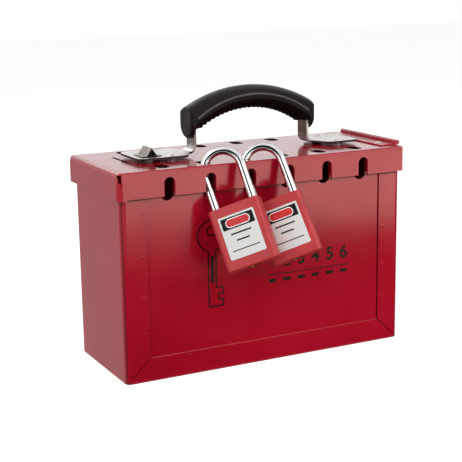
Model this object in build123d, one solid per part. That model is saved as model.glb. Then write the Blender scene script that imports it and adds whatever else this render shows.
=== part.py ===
from build123d import *
import math
import os

# Portable group lock box: a folded steel case, a hinged lid with twelve shackle slots,
# a carrying handle, a slide latch and two safety padlocks hung in the front slots.
# Frame: origin at the centre of the case's underside, X along the length with the hinge
# at +X, Y towards the back, Z up. Millimetres.

# ---- case ----
CASE_LENGTH = 231.8
CASE_WIDTH = 91.0
CASE_HEIGHT = 151.6
SHEET = 1.2
CORNER_BEND = 4.0
BOTTOM_BEND = 1.0
SIDE_FLANGE = 18.9
BOTTOM_FLANGE = 17.5
MITRE_GAP = 0.5
WELD_FIT = 0.0
PANEL_END_GAP = 0.4
OVERCUT = 1.0

# ---- lid ----
LID_OVERHANG_LEFT = 3.2
LID_OVERHANG_SIDE = 3.8
LID_RIM_GAP = 1.0
SKIRT_DEPTH = 18.9
LID_TOP_BEND = 1.6
LID_END_BEND = 3.4
TAB_WIDTH = 7.2
TAB_RISE_INNER = 7.8
TAB_RISE_OUTER = 14.2
TAB_DROP = 0.6
TAB_EDGE_DROP = 2.72
RELIEF_SIZE = 3.4
RELIEF_BELOW_TOP = 1.19
RETURN_LIP = 3.1

# ---- shackle slots ----
SLOT_COUNT = 6
SLOT_PITCH = 32.0
LID_SLOT_WIDTH = 9.2
LID_SLOT_LENGTH = 14.0
LID_SLOT_MARGIN = 6.2
NOTCH_WIDTH = 8.4
NOTCH_HEIGHT = 13.5
CASE_SLOT_WIDTH = 10.0
CASE_SLOT_DROP = 20.8

# ---- key slit in the lid ----
KEY_SLIT_INSET = 24.3
KEY_SLIT_LENGTH = 34.5
KEY_SLIT_WIDTH = 2.4
KEY_SLIT_OFFSET_Y = 3.2

# ---- hinge ----
HINGE_LENGTH = 80.0
HINGE_LEAF = 0.9
HINGE_PIN_DIAMETER = 1.6
HINGE_PIN_FIT = 0.05
HINGE_KNUCKLES = 5
KNUCKLE_GAP = 0.3
CASE_LEAF_DEPTH = 22.0
LID_LEAF_DEPTH = 14.0
HINGE_RIVET_INSET = 8.0
HINGE_CASE_RIVET_DROP = 12.1
HINGE_RIVET_SPAN = 56.0

# ---- rivets ----
RIVET_SHANK = 3.2
RIVET_HEAD = 5.4
RIVET_HEAD_HEIGHT = 0.9
RIVET_TAIL = 5.0
RIVET_TAIL_HEIGHT = 1.1
RIVET_FIT = 0.05

# ---- handle ----
HANDLE_CENTRE_X = 8.3
HANDLE_SPAN = 96.0
BRACKET_SHEET = 1.6
BRACKET_GAP = 2.0
BRACKET_WIDTH = 40.0
BRACKET_CORNER = 6.0
LEFT_FOOT_REACH = 50.7
RIGHT_FOOT_REACH = 38.8
FOOT_TAPER = 7.0
STRAP_WIDTH = 14.0
STRAP_BEND = 6.0
BRACKET_RIVET_SPAN = 29.0
LEFT_RIVET_INSET = 27.0
RIGHT_RIVET_INSET = 17.5
SPACER_DIAMETER = 8.0
GRIP_RISE = 49.6
GRIP_FOOT_RISE = 12.7
GRIP_OUTER_RADIUS = 104.5
GRIP_PARTING_RADIUS = 79.0
GRIP_INNER_RADIUS = 74.0
GRIP_PARTING_DROP = 6.3
GRIP_DEPTH = 16.0
GRIP_LENGTH = 105.4
GRIP_WIDTH = 21.0
GRIP_EDGE = 2.0
GRIP_LAND_RISE = 20.0
GRIP_CROWN = 17.5
GRIP_UNDER_CROWN = 12.0
STRAP_IN_GRIP = 5.0
GRIP_SOCKET_FIT = 0.1
GRIP_PIN_DIAMETER = 2.5
GRIP_PIN_LENGTH = 9.0
GRIP_PIN_WAY = 6.0
GRIP_PIN_COVER = 1.6

# ---- slide latch ----
LATCH_TRAVEL = 5.5
LATCH_SHEET = 2.0
LATCH_DROP = 2.8
LATCH_FROM_TIP = 12.3
LATCH_Y = -6.6
LATCH_PAD_FORE = 7.0
LATCH_PAD_AFT = 12.0
LATCH_PAD_WIDTH = 20.0
BOLT_WIDTH = 10.0
BOLT_Y = -22.0
BOLT_BEHIND_LIP = 1.0
NECK_LENGTH = 4.0
NECK_WIDTH = 8.0
SLIDE_FIT = 0.3
BUTTON_SHEET = 0.6
BUTTON_WIDTH = 8.4
BUTTON_HEIGHT = 6.4
BUTTON_LENGTH = 16.2
BUTTON_SHOE = 3.4
BUTTON_SHOE_SHEET = 0.5
KEEPER_SHEET = 1.2
KEEPER_LIP = 6.2
KEEPER_WIDTH = 22.0
KEEPER_DEPTH = 16.0
GUIDE_SHEET = 1.2
GUIDE_LENGTH = 6.0
DETENT_LEAF = 0.5
DETENT_WIDTH = 5.0
DETENT_NECK_GAP = 2.0
DETENT_END_GAP = 1.0
DETENT_TOUCH = 0.1

# ---- padlocks ----
LOCK_WIDTH = 38.0
LOCK_HEIGHT = 45.5
LOCK_THICKNESS = 19.0
LOCK_CORNER = 4.0
LOCK_EDGE = 1.0
SHACKLE_DIAMETER = 6.0
SHACKLE_PITCH = 28.0
SHACKLE_CLEARANCE = 37.4
SHACKLE_FIT = 0.15
HEEL_DEPTH = 27.0
HEEL_BORE_SPARE = 4.75
TOE_DEPTH = 9.0
TOE_BORE_SPARE = 2.0
SHACKLE_END_CHAMFER = 0.5
RELEASE_TRAVEL = 9.5
CYLINDER_DIAMETER = 13.0
CYLINDER_LENGTH = 27.0
PLUG_DIAMETER = 8.0
PLUG_FIT = 0.05
PLUG_INSET = 0.2
PRESS_FIT = 0.0
KEYWAY_WIDTH = 1.6
KEYWAY_BACK = 1.8
KEYWAY_END = 6.0
CAM_DIAMETER = 8.0
CAM_LENGTH = 6.0
CAM_CLEARANCE = 0.5
CAM_END_CLEARANCE = 0.4
CAM_COLLAR = 0.8
BALL_DIAMETER = 5.6
BALL_DEPTH = 8.0
BALL_DRAW_BACK = 0.3
BALL_POCKET_DEPTH = 1.9
BALL_POCKET_RISE = 2.0
LABEL_WIDTH = 26.5
LABEL_HEIGHT = 31.0
LABEL_THICKNESS = 0.4
LABEL_CORNER = 1.0
HEEL_PIN_DIAMETER = 2.0
HEEL_PIN_INSET = 0.3
WAIST_RISE = 3.2
WAIST_FIT = 0.3

# How each padlock hangs: its slot, counted from the left, then the middle of its top face
# from that slot's middle, the lid's front face and the lid's underside, then the turn
# about Z, the roll about the turned Y and the lean about the rolled X, in degrees.
PADLOCK_A_RIGHT = 12.7
PADLOCK_A_FORWARD = 10.9
PADLOCK_A_DOWN = 26.8
PADLOCK_B_RIGHT = 14.5
PADLOCK_B_FORWARD = 10.2
PADLOCK_B_DOWN = 26.6
PADLOCK_HANGS = {
    "padlock_a": (1, (PADLOCK_A_RIGHT, PADLOCK_A_FORWARD, PADLOCK_A_DOWN), (-32.4, -20.6, -18.3)),
    "padlock_b": (2, (PADLOCK_B_RIGHT, PADLOCK_B_FORWARD, PADLOCK_B_DOWN), (-26.4, -20.5, -20.0)),
}

# ---- derived planes ----
case_left = -CASE_LENGTH / 2
case_right = CASE_LENGTH / 2
case_front = -CASE_WIDTH / 2
lid_left = case_left - LID_OVERHANG_LEFT
lid_right = case_right
lid_side = CASE_WIDTH / 2 + LID_OVERHANG_SIDE
lid_under = CASE_HEIGHT + LID_RIM_GAP
lid_top = lid_under + SHEET
skirt_bottom = lid_top - SKIRT_DEPTH
hinge_radius = HINGE_PIN_DIAMETER / 2 + HINGE_PIN_FIT + HINGE_LEAF
hinge_x = case_right + hinge_radius
hinge_z = lid_top + hinge_radius
bracket_under = lid_top + BRACKET_GAP
bracket_top = bracket_under + BRACKET_SHEET
grip_top = lid_top + GRIP_RISE
grip_bottom = lid_top + GRIP_FOOT_RISE
grip_land = lid_top + GRIP_LAND_RISE
left_foot_tip = HANDLE_CENTRE_X - HANDLE_SPAN / 2 - LEFT_FOOT_REACH
right_foot_tip = HANDLE_CENTRE_X + HANDLE_SPAN / 2 + RIGHT_FOOT_REACH
latch_x = left_foot_tip + LATCH_FROM_TIP
slot_centres = [SLOT_PITCH * (i - (SLOT_COUNT - 1) / 2) for i in range(SLOT_COUNT)]
bolt_top = lid_under - LATCH_DROP
bolt_under = bolt_top - LATCH_SHEET
keeper_lip_edge = case_left + SHEET + KEEPER_SHEET + KEEPER_LIP
bolt_tip = keeper_lip_edge + BOLT_BEHIND_LIP
left_rivet_x = left_foot_tip + LEFT_RIVET_INSET
right_rivet_x = right_foot_tip - RIGHT_RIVET_INSET


def block(x0, x1, y0, y1, z0, z1):
    """A box between two corners."""
    size = (x1 - x0, y1 - y0, z1 - z0)
    middle = ((x0 + x1) / 2, (y0 + y1) / 2, (z0 + z1) / 2)
    return Pos(*middle) * Box(*size)


def rod(radius, start, end):
    """A round bar from one point to another."""
    line = Line(start, end)
    return sweep(Plane(origin=start, z_dir=line % 0) * Circle(radius), path=line)


def post(radius, x, y, z0, z1):
    """An upright round bar."""
    return Pos(x, y, (z0 + z1) / 2) * Cylinder(radius, z1 - z0)


def upright_edges(shape):
    return shape.edges().filter_by(Axis.Z)


def joined(solids):
    """Separate solids that share one node."""
    return Compound(children=list(solids))


def save(name, shape):
    os.makedirs("parts", exist_ok=True)
    shape.label = name
    export_step(shape, f"parts/{name}.step")


# ---- case -------------------------------------------------------------------


def mitre_slit(side, front):
    """The open seam where a side flange meets the bottom flange."""
    inner = Vector(side * (CASE_LENGTH / 2 - SIDE_FLANGE), 0, BOTTOM_FLANGE)
    outer_z = CORNER_BEND * BOTTOM_FLANGE / SIDE_FLANGE
    outer = Vector(side * (CASE_LENGTH / 2 - CORNER_BEND), 0, outer_z)
    inner += (inner - outer).normalized() * MITRE_GAP * 2
    along = outer - inner
    middle = (inner + outer) * 0.5
    turn = -math.degrees(math.atan2(along.Z, along.X))
    slit = Rot(0, turn, 0) * Box(along.length, SHEET * 3, MITRE_GAP)
    return Pos(middle.X, front * CASE_WIDTH / 2, middle.Z) * slit


def case_wrap():
    """Both ends and the bottom in one folded sheet, its flanges turned in front and back."""
    outer = block(case_left, case_right, case_front, -case_front, 0, CASE_HEIGHT)
    outer = fillet(upright_edges(outer), CORNER_BEND)
    outer = fillet(outer.faces().sort_by(Axis.Z)[0].edges(), BOTTOM_BEND)
    inner = block(
        case_left + SHEET,
        case_right - SHEET,
        case_front + SHEET,
        -case_front - SHEET,
        SHEET,
        CASE_HEIGHT + SHEET,
    )
    inner = fillet(upright_edges(inner), CORNER_BEND - SHEET)
    wrap = outer - inner
    window_half = CASE_LENGTH / 2 - SIDE_FLANGE
    reach = CASE_WIDTH / 2 + OVERCUT
    wrap -= block(-window_half, window_half, -reach, reach, BOTTOM_FLANGE, CASE_HEIGHT + OVERCUT)
    for side in (-1, 1):
        for front in (-1, 1):
            wrap -= mitre_slit(side, front)
    for y, z in hinge_case_rivet_places():
        start = (case_right - SHEET * 2, y, z)
        wrap -= rod(RIVET_SHANK / 2 + RIVET_FIT, start, (case_right + OVERCUT, y, z))
    return wrap


def case_panel(side):
    """A flat front or back panel, spot welded behind the flanges."""
    outer_y = side * (CASE_WIDTH / 2 - SHEET - WELD_FIT)
    inner_y = outer_y - side * SHEET
    half = CASE_LENGTH / 2 - CORNER_BEND - PANEL_END_GAP
    y0, y1 = sorted((outer_y, inner_y))
    panel = block(-half, half, y0, y1, SHEET + PANEL_END_GAP, CASE_HEIGHT)
    slot_bottom = CASE_HEIGHT - CASE_SLOT_DROP
    radius = CASE_SLOT_WIDTH / 2
    for x in slot_centres:
        back, front = y0 - OVERCUT, y1 + OVERCUT
        round_z = slot_bottom + radius
        panel -= block(x - radius, x + radius, back, front, round_z, CASE_HEIGHT + OVERCUT)
        panel -= rod(radius, (x, back, round_z), (x, front, round_z))
    return panel


# ---- lid --------------------------------------------------------------------


def lid_slot(x, side):
    """One rounded shackle slot through the lid's top."""
    length = LID_SLOT_LENGTH
    y = side * (lid_side - LID_SLOT_MARGIN - length / 2)
    slot = Plane.XY * SlotOverall(length, LID_SLOT_WIDTH, rotation=90)
    return Pos(x, y, lid_top - SHEET * 2) * extrude(slot, SHEET * 4)


def skirt_notch(x, side):
    """One notch in the skirt, round at its top and open below."""
    radius = NOTCH_WIDTH / 2
    y0, y1 = sorted((side * (lid_side - SHEET * 2), side * (lid_side + SHEET)))
    arch_z = skirt_bottom + NOTCH_HEIGHT - radius
    notch = block(x - radius, x + radius, y0, y1, skirt_bottom - OVERCUT, arch_z)
    return notch + rod(radius, (x, y0, arch_z), (x, y1, arch_z))


def corner_tab(side):
    """The end skirt's tab, wrapped round the corner onto the front or back skirt."""
    points = [
        (lid_left + LID_END_BEND, skirt_bottom - TAB_DROP),
        (lid_left + TAB_WIDTH, skirt_bottom - TAB_DROP),
        (lid_left + TAB_WIDTH, skirt_bottom + TAB_RISE_INNER),
        (lid_left + LID_END_BEND, skirt_bottom + TAB_RISE_OUTER - TAB_EDGE_DROP),
    ]
    face = Plane.XZ * Polygon(*points, align=None)
    tab = extrude(face, SHEET / 2, both=True)
    return Pos(0, side * (lid_side + SHEET / 2), 0) * tab


def end_skirt():
    """The left skirt with its two bends, as one strip seen from above."""
    depth = lid_side + SHEET
    bend_end = lid_left + LID_END_BEND + SHEET
    trim = bend_end + LID_END_BEND
    outer = block(lid_left, trim, -depth, depth, skirt_bottom - TAB_DROP, lid_top - RELIEF_SIZE)
    left_edges = upright_edges(outer).group_by(Axis.X)[0]
    outer = fillet(left_edges, LID_END_BEND + SHEET)
    inner = block(lid_left + SHEET, trim + SHEET, -lid_side, lid_side, 0, lid_top)
    inner = fillet(upright_edges(inner).group_by(Axis.X)[0], LID_END_BEND)
    strip = outer - inner
    strip -= block(bend_end, trim + SHEET, -depth - OVERCUT, depth + OVERCUT, 0, lid_top)
    wedge = [
        (lid_left - OVERCUT, skirt_bottom + TAB_RISE_OUTER),
        (lid_left + TAB_WIDTH, skirt_bottom + TAB_RISE_INNER),
        (lid_left + TAB_WIDTH, lid_top + OVERCUT),
        (lid_left - OVERCUT, lid_top + OVERCUT),
    ]
    cut = extrude(Plane.XZ * Polygon(*wedge, align=None), RELIEF_SIZE, both=True)
    for side in (-1, 1):
        strip -= Pos(0, side * depth, 0) * cut
    return strip


def lid_shell():
    """Top, skirts and corner tabs in one folded sheet."""
    outer = block(lid_left, lid_right, -lid_side, lid_side, skirt_bottom, lid_top)
    long_edges = outer.faces().sort_by(Axis.Z)[-1].edges().filter_by(Axis.X)
    outer = fillet(long_edges, LID_TOP_BEND)
    left_edge = outer.edges().filter_by(Axis.Y).group_by(Axis.Z)[-1].sort_by(Axis.X)[:1]
    outer = fillet(left_edge, LID_END_BEND)
    inner = block(
        lid_left + SHEET,
        lid_right + OVERCUT,
        -lid_side + SHEET,
        lid_side - SHEET,
        skirt_bottom - OVERCUT,
        lid_under,
    )
    shell = outer - inner
    for side in (-1, 1):
        y0, y1 = sorted((side * lid_side, side * (lid_side - RETURN_LIP)))
        shell += block(lid_right - SHEET, lid_right, y0, y1, skirt_bottom + SHEET * 2, lid_under)
        for x in slot_centres:
            shell -= lid_slot(x, side)
            shell -= skirt_notch(x, side)
        y0, y1 = sorted((side * (lid_side + OVERCUT), side * (lid_side - RELIEF_SIZE)))
        shell -= block(lid_left - OVERCUT, lid_left + RELIEF_SIZE, y0, y1, 0, lid_top - RELIEF_BELOW_TOP)
    shell += end_skirt()
    for side in (-1, 1):
        shell += corner_tab(side)
    slit_x = lid_left + KEY_SLIT_INSET
    slit = SlotOverall(KEY_SLIT_LENGTH, KEY_SLIT_WIDTH, rotation=90)
    shell -= Pos(slit_x, KEY_SLIT_OFFSET_Y, lid_top - SHEET * 2) * extrude(Plane.XY * slit, SHEET * 4)
    shell -= latch_opening(lid_under - OVERCUT, lid_top + OVERCUT)
    for x, y in bracket_rivet_places():
        shell -= post(RIVET_SHANK / 2 + RIVET_FIT, x, y, lid_under - OVERCUT, lid_top + OVERCUT)
    for x, y in hinge_lid_rivet_places():
        shell -= post(RIVET_SHANK / 2 + RIVET_FIT, x, y, lid_under - OVERCUT, lid_top + OVERCUT)
    return shell


# ---- hinge ------------------------------------------------------------------


def knuckle_spans(leaf):
    """The Y spans of one leaf's knuckles; leaf 0 is the case's, leaf 1 the lid's."""
    step = HINGE_LENGTH / HINGE_KNUCKLES
    spans = []
    for i in range(leaf, HINGE_KNUCKLES, 2):
        start = -HINGE_LENGTH / 2 + i * step
        spans.append((start + KNUCKLE_GAP / 2, start + step - KNUCKLE_GAP / 2))
    return spans


def hinge_barrel(spans, web):
    """Rolled knuckles with the web that ties each to its leaf."""
    bore = HINGE_PIN_DIAMETER / 2 + HINGE_PIN_FIT
    barrel = None
    for y0, y1 in spans:
        x0, x1, z0, z1 = web
        piece = block(x0, x1, y0, y1, z0, z1)
        piece += rod(hinge_radius, (hinge_x, y0, hinge_z), (hinge_x, y1, hinge_z))
        barrel = piece if barrel is None else barrel + piece
    return barrel, rod(bore, (hinge_x, -HINGE_LENGTH, hinge_z), (hinge_x, HINGE_LENGTH, hinge_z))


def hinge_case_rivet_places():
    z = hinge_z - hinge_radius - HINGE_CASE_RIVET_DROP
    return [(side * HINGE_RIVET_SPAN / 2, z) for side in (-1, 1)]


def hinge_lid_rivet_places():
    x = lid_right - HINGE_RIVET_INSET
    return [(x, side * HINGE_RIVET_SPAN / 2) for side in (-1, 1)]


def hinge_case_leaf():
    """The leaf riveted flat on the case's right end."""
    x0 = case_right
    x1 = case_right + HINGE_LEAF
    top = lid_top - 2 * HINGE_LEAF
    leaf = block(x0, x1, -HINGE_LENGTH / 2, HINGE_LENGTH / 2, lid_top - CASE_LEAF_DEPTH, top)
    barrel, bore = hinge_barrel(knuckle_spans(0), (x0, x1, top - OVERCUT, hinge_z))
    leaf = leaf + barrel - bore
    for y, z in hinge_case_rivet_places():
        leaf -= rod(RIVET_SHANK / 2 + RIVET_FIT, (x0 - OVERCUT, y, z), (x1 + OVERCUT, y, z))
    return leaf


def hinge_lid_leaf():
    """The leaf riveted flat on the lid's top."""
    x0 = lid_right - LID_LEAF_DEPTH
    z0 = lid_top
    z1 = lid_top + HINGE_LEAF
    leaf = block(x0, lid_right, -HINGE_LENGTH / 2, HINGE_LENGTH / 2, z0, z1)
    barrel, bore = hinge_barrel(knuckle_spans(1), (lid_right - OVERCUT, hinge_x, z0, z1))
    leaf = leaf + barrel - bore
    for x, y in hinge_lid_rivet_places():
        leaf -= post(RIVET_SHANK / 2 + RIVET_FIT, x, y, z0 - OVERCUT, z1 + OVERCUT)
    return leaf


def hinge_pin():
    y = HINGE_LENGTH / 2
    return rod(HINGE_PIN_DIAMETER / 2, (hinge_x, -y, hinge_z), (hinge_x, y, hinge_z))


# ---- rivets -----------------------------------------------------------------


def rivet(grip):
    """A dome-headed rivet along Z; its grip runs from the origin down, its head stands above."""
    shank = Pos(0, 0, -grip / 2) * Cylinder(RIVET_SHANK / 2, grip)
    radius = ((RIVET_HEAD / 2) ** 2 + RIVET_HEAD_HEIGHT**2) / (2 * RIVET_HEAD_HEIGHT)
    dome = Pos(0, 0, RIVET_HEAD_HEIGHT - radius) * Sphere(radius)
    dome &= Pos(0, 0, RIVET_HEAD_HEIGHT / 2) * Box(RIVET_HEAD, RIVET_HEAD, RIVET_HEAD_HEIGHT)
    tail = Pos(0, 0, -grip - RIVET_TAIL_HEIGHT / 2) * Cylinder(RIVET_TAIL / 2, RIVET_TAIL_HEIGHT)
    return shank + dome + tail


def hinge_case_rivets():
    grip = HINGE_LEAF + SHEET
    x = case_right + HINGE_LEAF
    return joined(Pos(x, y, z) * Rot(0, 90, 0) * rivet(grip) for y, z in hinge_case_rivet_places())


def hinge_lid_rivets():
    grip = HINGE_LEAF + SHEET
    return joined(Pos(x, y, lid_top + HINGE_LEAF) * rivet(grip) for x, y in hinge_lid_rivet_places())


# ---- handle -----------------------------------------------------------------


def bracket_rivet_places():
    places = []
    for x in (left_rivet_x, right_rivet_x):
        for side in (-1, 1):
            places.append((x, side * BRACKET_RIVET_SPAN / 2))
    return places


def handle_bracket(side, reach):
    """A foot plate and its upright strap, stamped and bent from one sheet."""
    strap_x = HANDLE_CENTRE_X + side * HANDLE_SPAN / 2
    inner = strap_x - side * BRACKET_SHEET / 2
    outer = strap_x + side * BRACKET_SHEET / 2
    strap_top = grip_land + STRAP_IN_GRIP
    x0, x1 = sorted((inner, outer))
    strap = block(x0, x1, -STRAP_WIDTH / 2, STRAP_WIDTH / 2, bracket_under + STRAP_BEND, strap_top)
    bend_x = inner + side * STRAP_BEND
    bend_z = bracket_under + STRAP_BEND
    ring = rod(STRAP_BEND, (bend_x, -STRAP_WIDTH / 2, bend_z), (bend_x, STRAP_WIDTH / 2, bend_z))
    ring -= rod(STRAP_BEND - BRACKET_SHEET, (bend_x, -STRAP_WIDTH, bend_z), (bend_x, STRAP_WIDTH, bend_z))
    q0, q1 = sorted((inner, bend_x))
    bend = ring & block(q0, q1, -STRAP_WIDTH, STRAP_WIDTH, bracket_under, bend_z)
    tip = strap_x + side * reach
    neck = bend_x
    shoulder = neck + side * FOOT_TAPER
    half = BRACKET_WIDTH / 2
    outline = [
        (neck, -STRAP_WIDTH / 2),
        (shoulder, -half),
        (tip, -half),
        (tip, half),
        (shoulder, half),
        (neck, STRAP_WIDTH / 2),
    ]
    foot_face = Plane.XY.offset(bracket_under) * Polygon(*outline, align=None)
    foot = extrude(foot_face, BRACKET_SHEET, dir=(0, 0, 1))
    by_x = upright_edges(foot).group_by(Axis.X)
    tip_edges = by_x[-1] if side > 0 else by_x[0]
    shoulder_edges = by_x[-2] if side > 0 else by_x[1]
    foot = fillet(tip_edges + shoulder_edges, BRACKET_CORNER)
    bracket = strap + bend + foot
    rivet_x = right_rivet_x if side > 0 else left_rivet_x
    for edge in (-1, 1):
        y = edge * BRACKET_RIVET_SPAN / 2
        bracket -= post(RIVET_SHANK / 2 + RIVET_FIT, rivet_x, y, lid_under, bracket_top + OVERCUT)
    pin_z = grip_pin_height()
    reach_in = BRACKET_SHEET * 2
    bracket -= rod(GRIP_PIN_DIAMETER / 2, (strap_x - reach_in, 0, pin_z), (strap_x + reach_in, 0, pin_z))
    if side < 0:
        bracket -= latch_opening(lid_under, bracket_top + OVERCUT)
    return bracket


def bracket_spacers():
    """Round steel washers that hold the foot plates off the lid."""
    washers = []
    for x, y in bracket_rivet_places():
        washer = post(SPACER_DIAMETER / 2, x, y, lid_top, bracket_under)
        hole = post(RIVET_SHANK / 2 + RIVET_FIT, x, y, lid_top - OVERCUT, bracket_under + OVERCUT)
        washers.append(washer - hole)
    return joined(washers)


def bracket_rivets():
    grip = bracket_top - lid_under
    return joined(Pos(x, y, bracket_top) * rivet(grip) for x, y in bracket_rivet_places())


def grip_pin_height():
    return grip_land + STRAP_IN_GRIP / 2


def grip_pin_line(side, length):
    """The line of one pin, inward from the cheek, through the strap and the arch's end."""
    outer = HANDLE_CENTRE_X + side * (GRIP_LENGTH / 2 - GRIP_PIN_COVER)
    return (outer - side * length, 0, grip_pin_height()), (outer, 0, grip_pin_height())


def grip_disc(radius, top):
    """A round face in the handle's plane whose rim passes through the grip's middle at one height."""
    return Plane.XZ * Pos(HANDLE_CENTRE_X, top - radius) * Circle(radius)


def grip_rectangle(half, bottom, top):
    middle = (bottom + top) / 2
    return Plane.XZ * Pos(HANDLE_CENTRE_X, middle) * Rectangle(half * 2, top - bottom)


def grip_wheel(radius, top, crown, outward):
    """A disc like grip_disc, as wide as the grip, with a rim that is curved across its width."""
    edge = GRIP_WIDTH / 2 + OVERCUT
    rim = top - outward * (crown - math.sqrt(crown**2 - edge**2))
    axle = top - radius
    outline = [
        ThreePointArc((-edge, rim), (0, top), (edge, rim)),
        Polyline((edge, rim), (edge, axle), (-edge, axle), (-edge, rim)),
    ]
    half_section = Plane.YZ.offset(HANDLE_CENTRE_X) * make_face(outline)
    return revolve(half_section, Axis((HANDLE_CENTRE_X, 0, axle), (0, 1, 0)), 360)


def grip_cheek_ends():
    """All that lies within the round lower end of the cheeks, seen along the handle."""
    reach = GRIP_LENGTH
    x0 = HANDLE_CENTRE_X - reach
    x1 = HANDLE_CENTRE_X + reach
    half = GRIP_WIDTH / 2
    centre_z = grip_bottom + half
    above = block(x0, x1, -half - OVERCUT, half + OVERCUT, centre_z, grip_top + OVERCUT)
    return above + rod(half, (x0, 0, centre_z), (x1, 0, centre_z))


def grip_blank():
    """The whole grip: a crowned arch with a thin cheek at each end, outside the strap."""
    half = GRIP_LENGTH / 2
    grip = extrude(grip_rectangle(half, grip_bottom, grip_top), GRIP_WIDTH / 2, both=True)
    grip &= grip_wheel(GRIP_OUTER_RADIUS, grip_top, GRIP_CROWN, 1)
    grip &= grip_cheek_ends()
    by_x = grip.faces().sort_by(Axis.X)
    end_rims = by_x[0].edges() + by_x[-1].edges()
    crown = grip.faces().sort_by(Axis.Z)[-1]
    grip = fillet(end_rims + crown.edges().filter_by(GeomType.CIRCLE).sort_by(Edge.length)[-2:], GRIP_EDGE)
    throat = HANDLE_SPAN / 2 + BRACKET_SHEET / 2 + GRIP_SOCKET_FIT
    between = extrude(grip_rectangle(throat, grip_land, grip_top), GRIP_WIDTH, both=True)
    grip -= grip_wheel(GRIP_INNER_RADIUS, grip_top - GRIP_DEPTH, GRIP_UNDER_CROWN, -1) & between
    return grip - extrude(grip_rectangle(throat, 0, grip_land), GRIP_WIDTH, both=True)


def grip_sockets():
    """The pockets that take the bracket straps, and the holes for their cross pins."""
    pockets = None
    half_x = BRACKET_SHEET / 2 + GRIP_SOCKET_FIT
    half_y = STRAP_WIDTH / 2 + GRIP_SOCKET_FIT
    for side in (-1, 1):
        x = HANDLE_CENTRE_X + side * HANDLE_SPAN / 2
        top = grip_land + STRAP_IN_GRIP + GRIP_SOCKET_FIT
        pocket = block(x - half_x, x + half_x, -half_y, half_y, grip_land - OVERCUT, top)
        pocket += rod(GRIP_PIN_DIAMETER / 2, *grip_pin_line(side, GRIP_PIN_LENGTH + GRIP_PIN_WAY))
        pockets = pocket if pockets is None else pockets + pocket
    return pockets


def grip_halves():
    """The smooth upper shell and the serrated lower one, parted along an arc."""
    blank = grip_blank()
    parting = extrude(grip_disc(GRIP_PARTING_RADIUS, grip_top - GRIP_PARTING_DROP), GRIP_WIDTH, both=True)
    upper = blank - parting
    lower = (blank & parting) - grip_sockets()
    return upper, lower


def grip_pins():
    """Short pins driven in from under the arch's ends, through the bracket straps."""
    return joined(rod(GRIP_PIN_DIAMETER / 2, *grip_pin_line(side, GRIP_PIN_LENGTH)) for side in (-1, 1))


# ---- slide latch ------------------------------------------------------------


def latch_opening(z0, z1):
    """The slot for the latch's neck through the lid and the left foot plate."""
    x0 = latch_x - NECK_LENGTH / 2 - LATCH_TRAVEL - SLIDE_FIT
    x1 = latch_x + NECK_LENGTH / 2 + SLIDE_FIT
    half = NECK_WIDTH / 2 + SLIDE_FIT
    return block(x0, x1, LATCH_Y - half, LATCH_Y + half, z0, z1)


def latch_slide():
    """The flat slide under the lid, with its bolt and the neck that carries the button."""
    half_width = LATCH_PAD_WIDTH / 2
    x0 = latch_x - LATCH_PAD_FORE
    x1 = latch_x + LATCH_PAD_AFT
    bolt_y0 = BOLT_Y - BOLT_WIDTH / 2
    bolt_y1 = BOLT_Y + BOLT_WIDTH / 2
    pad = block(x0, x1, bolt_y0, LATCH_Y + half_width, bolt_under, bolt_top)
    bolt = block(bolt_tip, x1, bolt_y0, bolt_y1, bolt_under, bolt_top)
    neck = block(
        latch_x - NECK_LENGTH / 2,
        latch_x + NECK_LENGTH / 2,
        LATCH_Y - NECK_WIDTH / 2,
        LATCH_Y + NECK_WIDTH / 2,
        bolt_top,
        bracket_top + SLIDE_FIT,
    )
    return pad + bolt + neck


def latch_button():
    """A folded ridge-shaped tab on a flat shoe, open at the front."""
    z0 = bracket_top + SLIDE_FIT
    half = BUTTON_WIDTH / 2
    y0 = LATCH_Y - BUTTON_LENGTH / 2
    y1 = LATCH_Y + BUTTON_LENGTH / 2
    shoe = block(
        latch_x - half - BUTTON_SHOE,
        latch_x + half + BUTTON_SHOE,
        y0,
        y1,
        z0,
        z0 + BUTTON_SHOE_SHEET,
    )
    ridge = [(latch_x - half, z0), (latch_x, z0 + BUTTON_HEIGHT), (latch_x + half, z0)]
    slope = BUTTON_SHEET / math.sin(math.atan2(half, BUTTON_HEIGHT))
    hollow = [
        (latch_x - half, z0 - slope),
        (latch_x, z0 + BUTTON_HEIGHT - slope),
        (latch_x + half, z0 - slope),
    ]
    middle_y = (y0 + y1) / 2
    reach = BUTTON_LENGTH / 2
    tent = extrude(Plane.XZ * Polygon(*ridge, align=None), reach, both=True)
    under = extrude(Plane.XZ * Polygon(*hollow, align=None), reach + OVERCUT, both=True)
    floor = z0 + BUTTON_SHOE_SHEET
    under -= block(latch_x - half * 2, latch_x + half * 2, -reach * 3, reach * 3, z0 - slope * 2, floor)
    return shoe + Pos(0, middle_y, 0) * (tent - under)


def latch_guides():
    """Two bridges spot welded under the lid that carry the slide."""
    bridges = []
    y0 = BOLT_Y - BOLT_WIDTH / 2 - SLIDE_FIT
    y1 = LATCH_Y + LATCH_PAD_WIDTH / 2 + SLIDE_FIT
    z0 = bolt_under - SLIDE_FIT - GUIDE_SHEET
    for x in (latch_x - LATCH_PAD_FORE + GUIDE_LENGTH / 2, latch_x + LATCH_PAD_AFT - GUIDE_LENGTH / 2):
        x0 = x - GUIDE_LENGTH / 2
        x1 = x + GUIDE_LENGTH / 2
        bridge = block(x0, x1, y0 - GUIDE_SHEET, y1 + GUIDE_SHEET, z0, lid_under)
        bridge -= block(x0 - OVERCUT, x1 + OVERCUT, y0, y1, z0 + GUIDE_SHEET, lid_under + OVERCUT)
        bridges.append(bridge)
    return joined(bridges)


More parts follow.
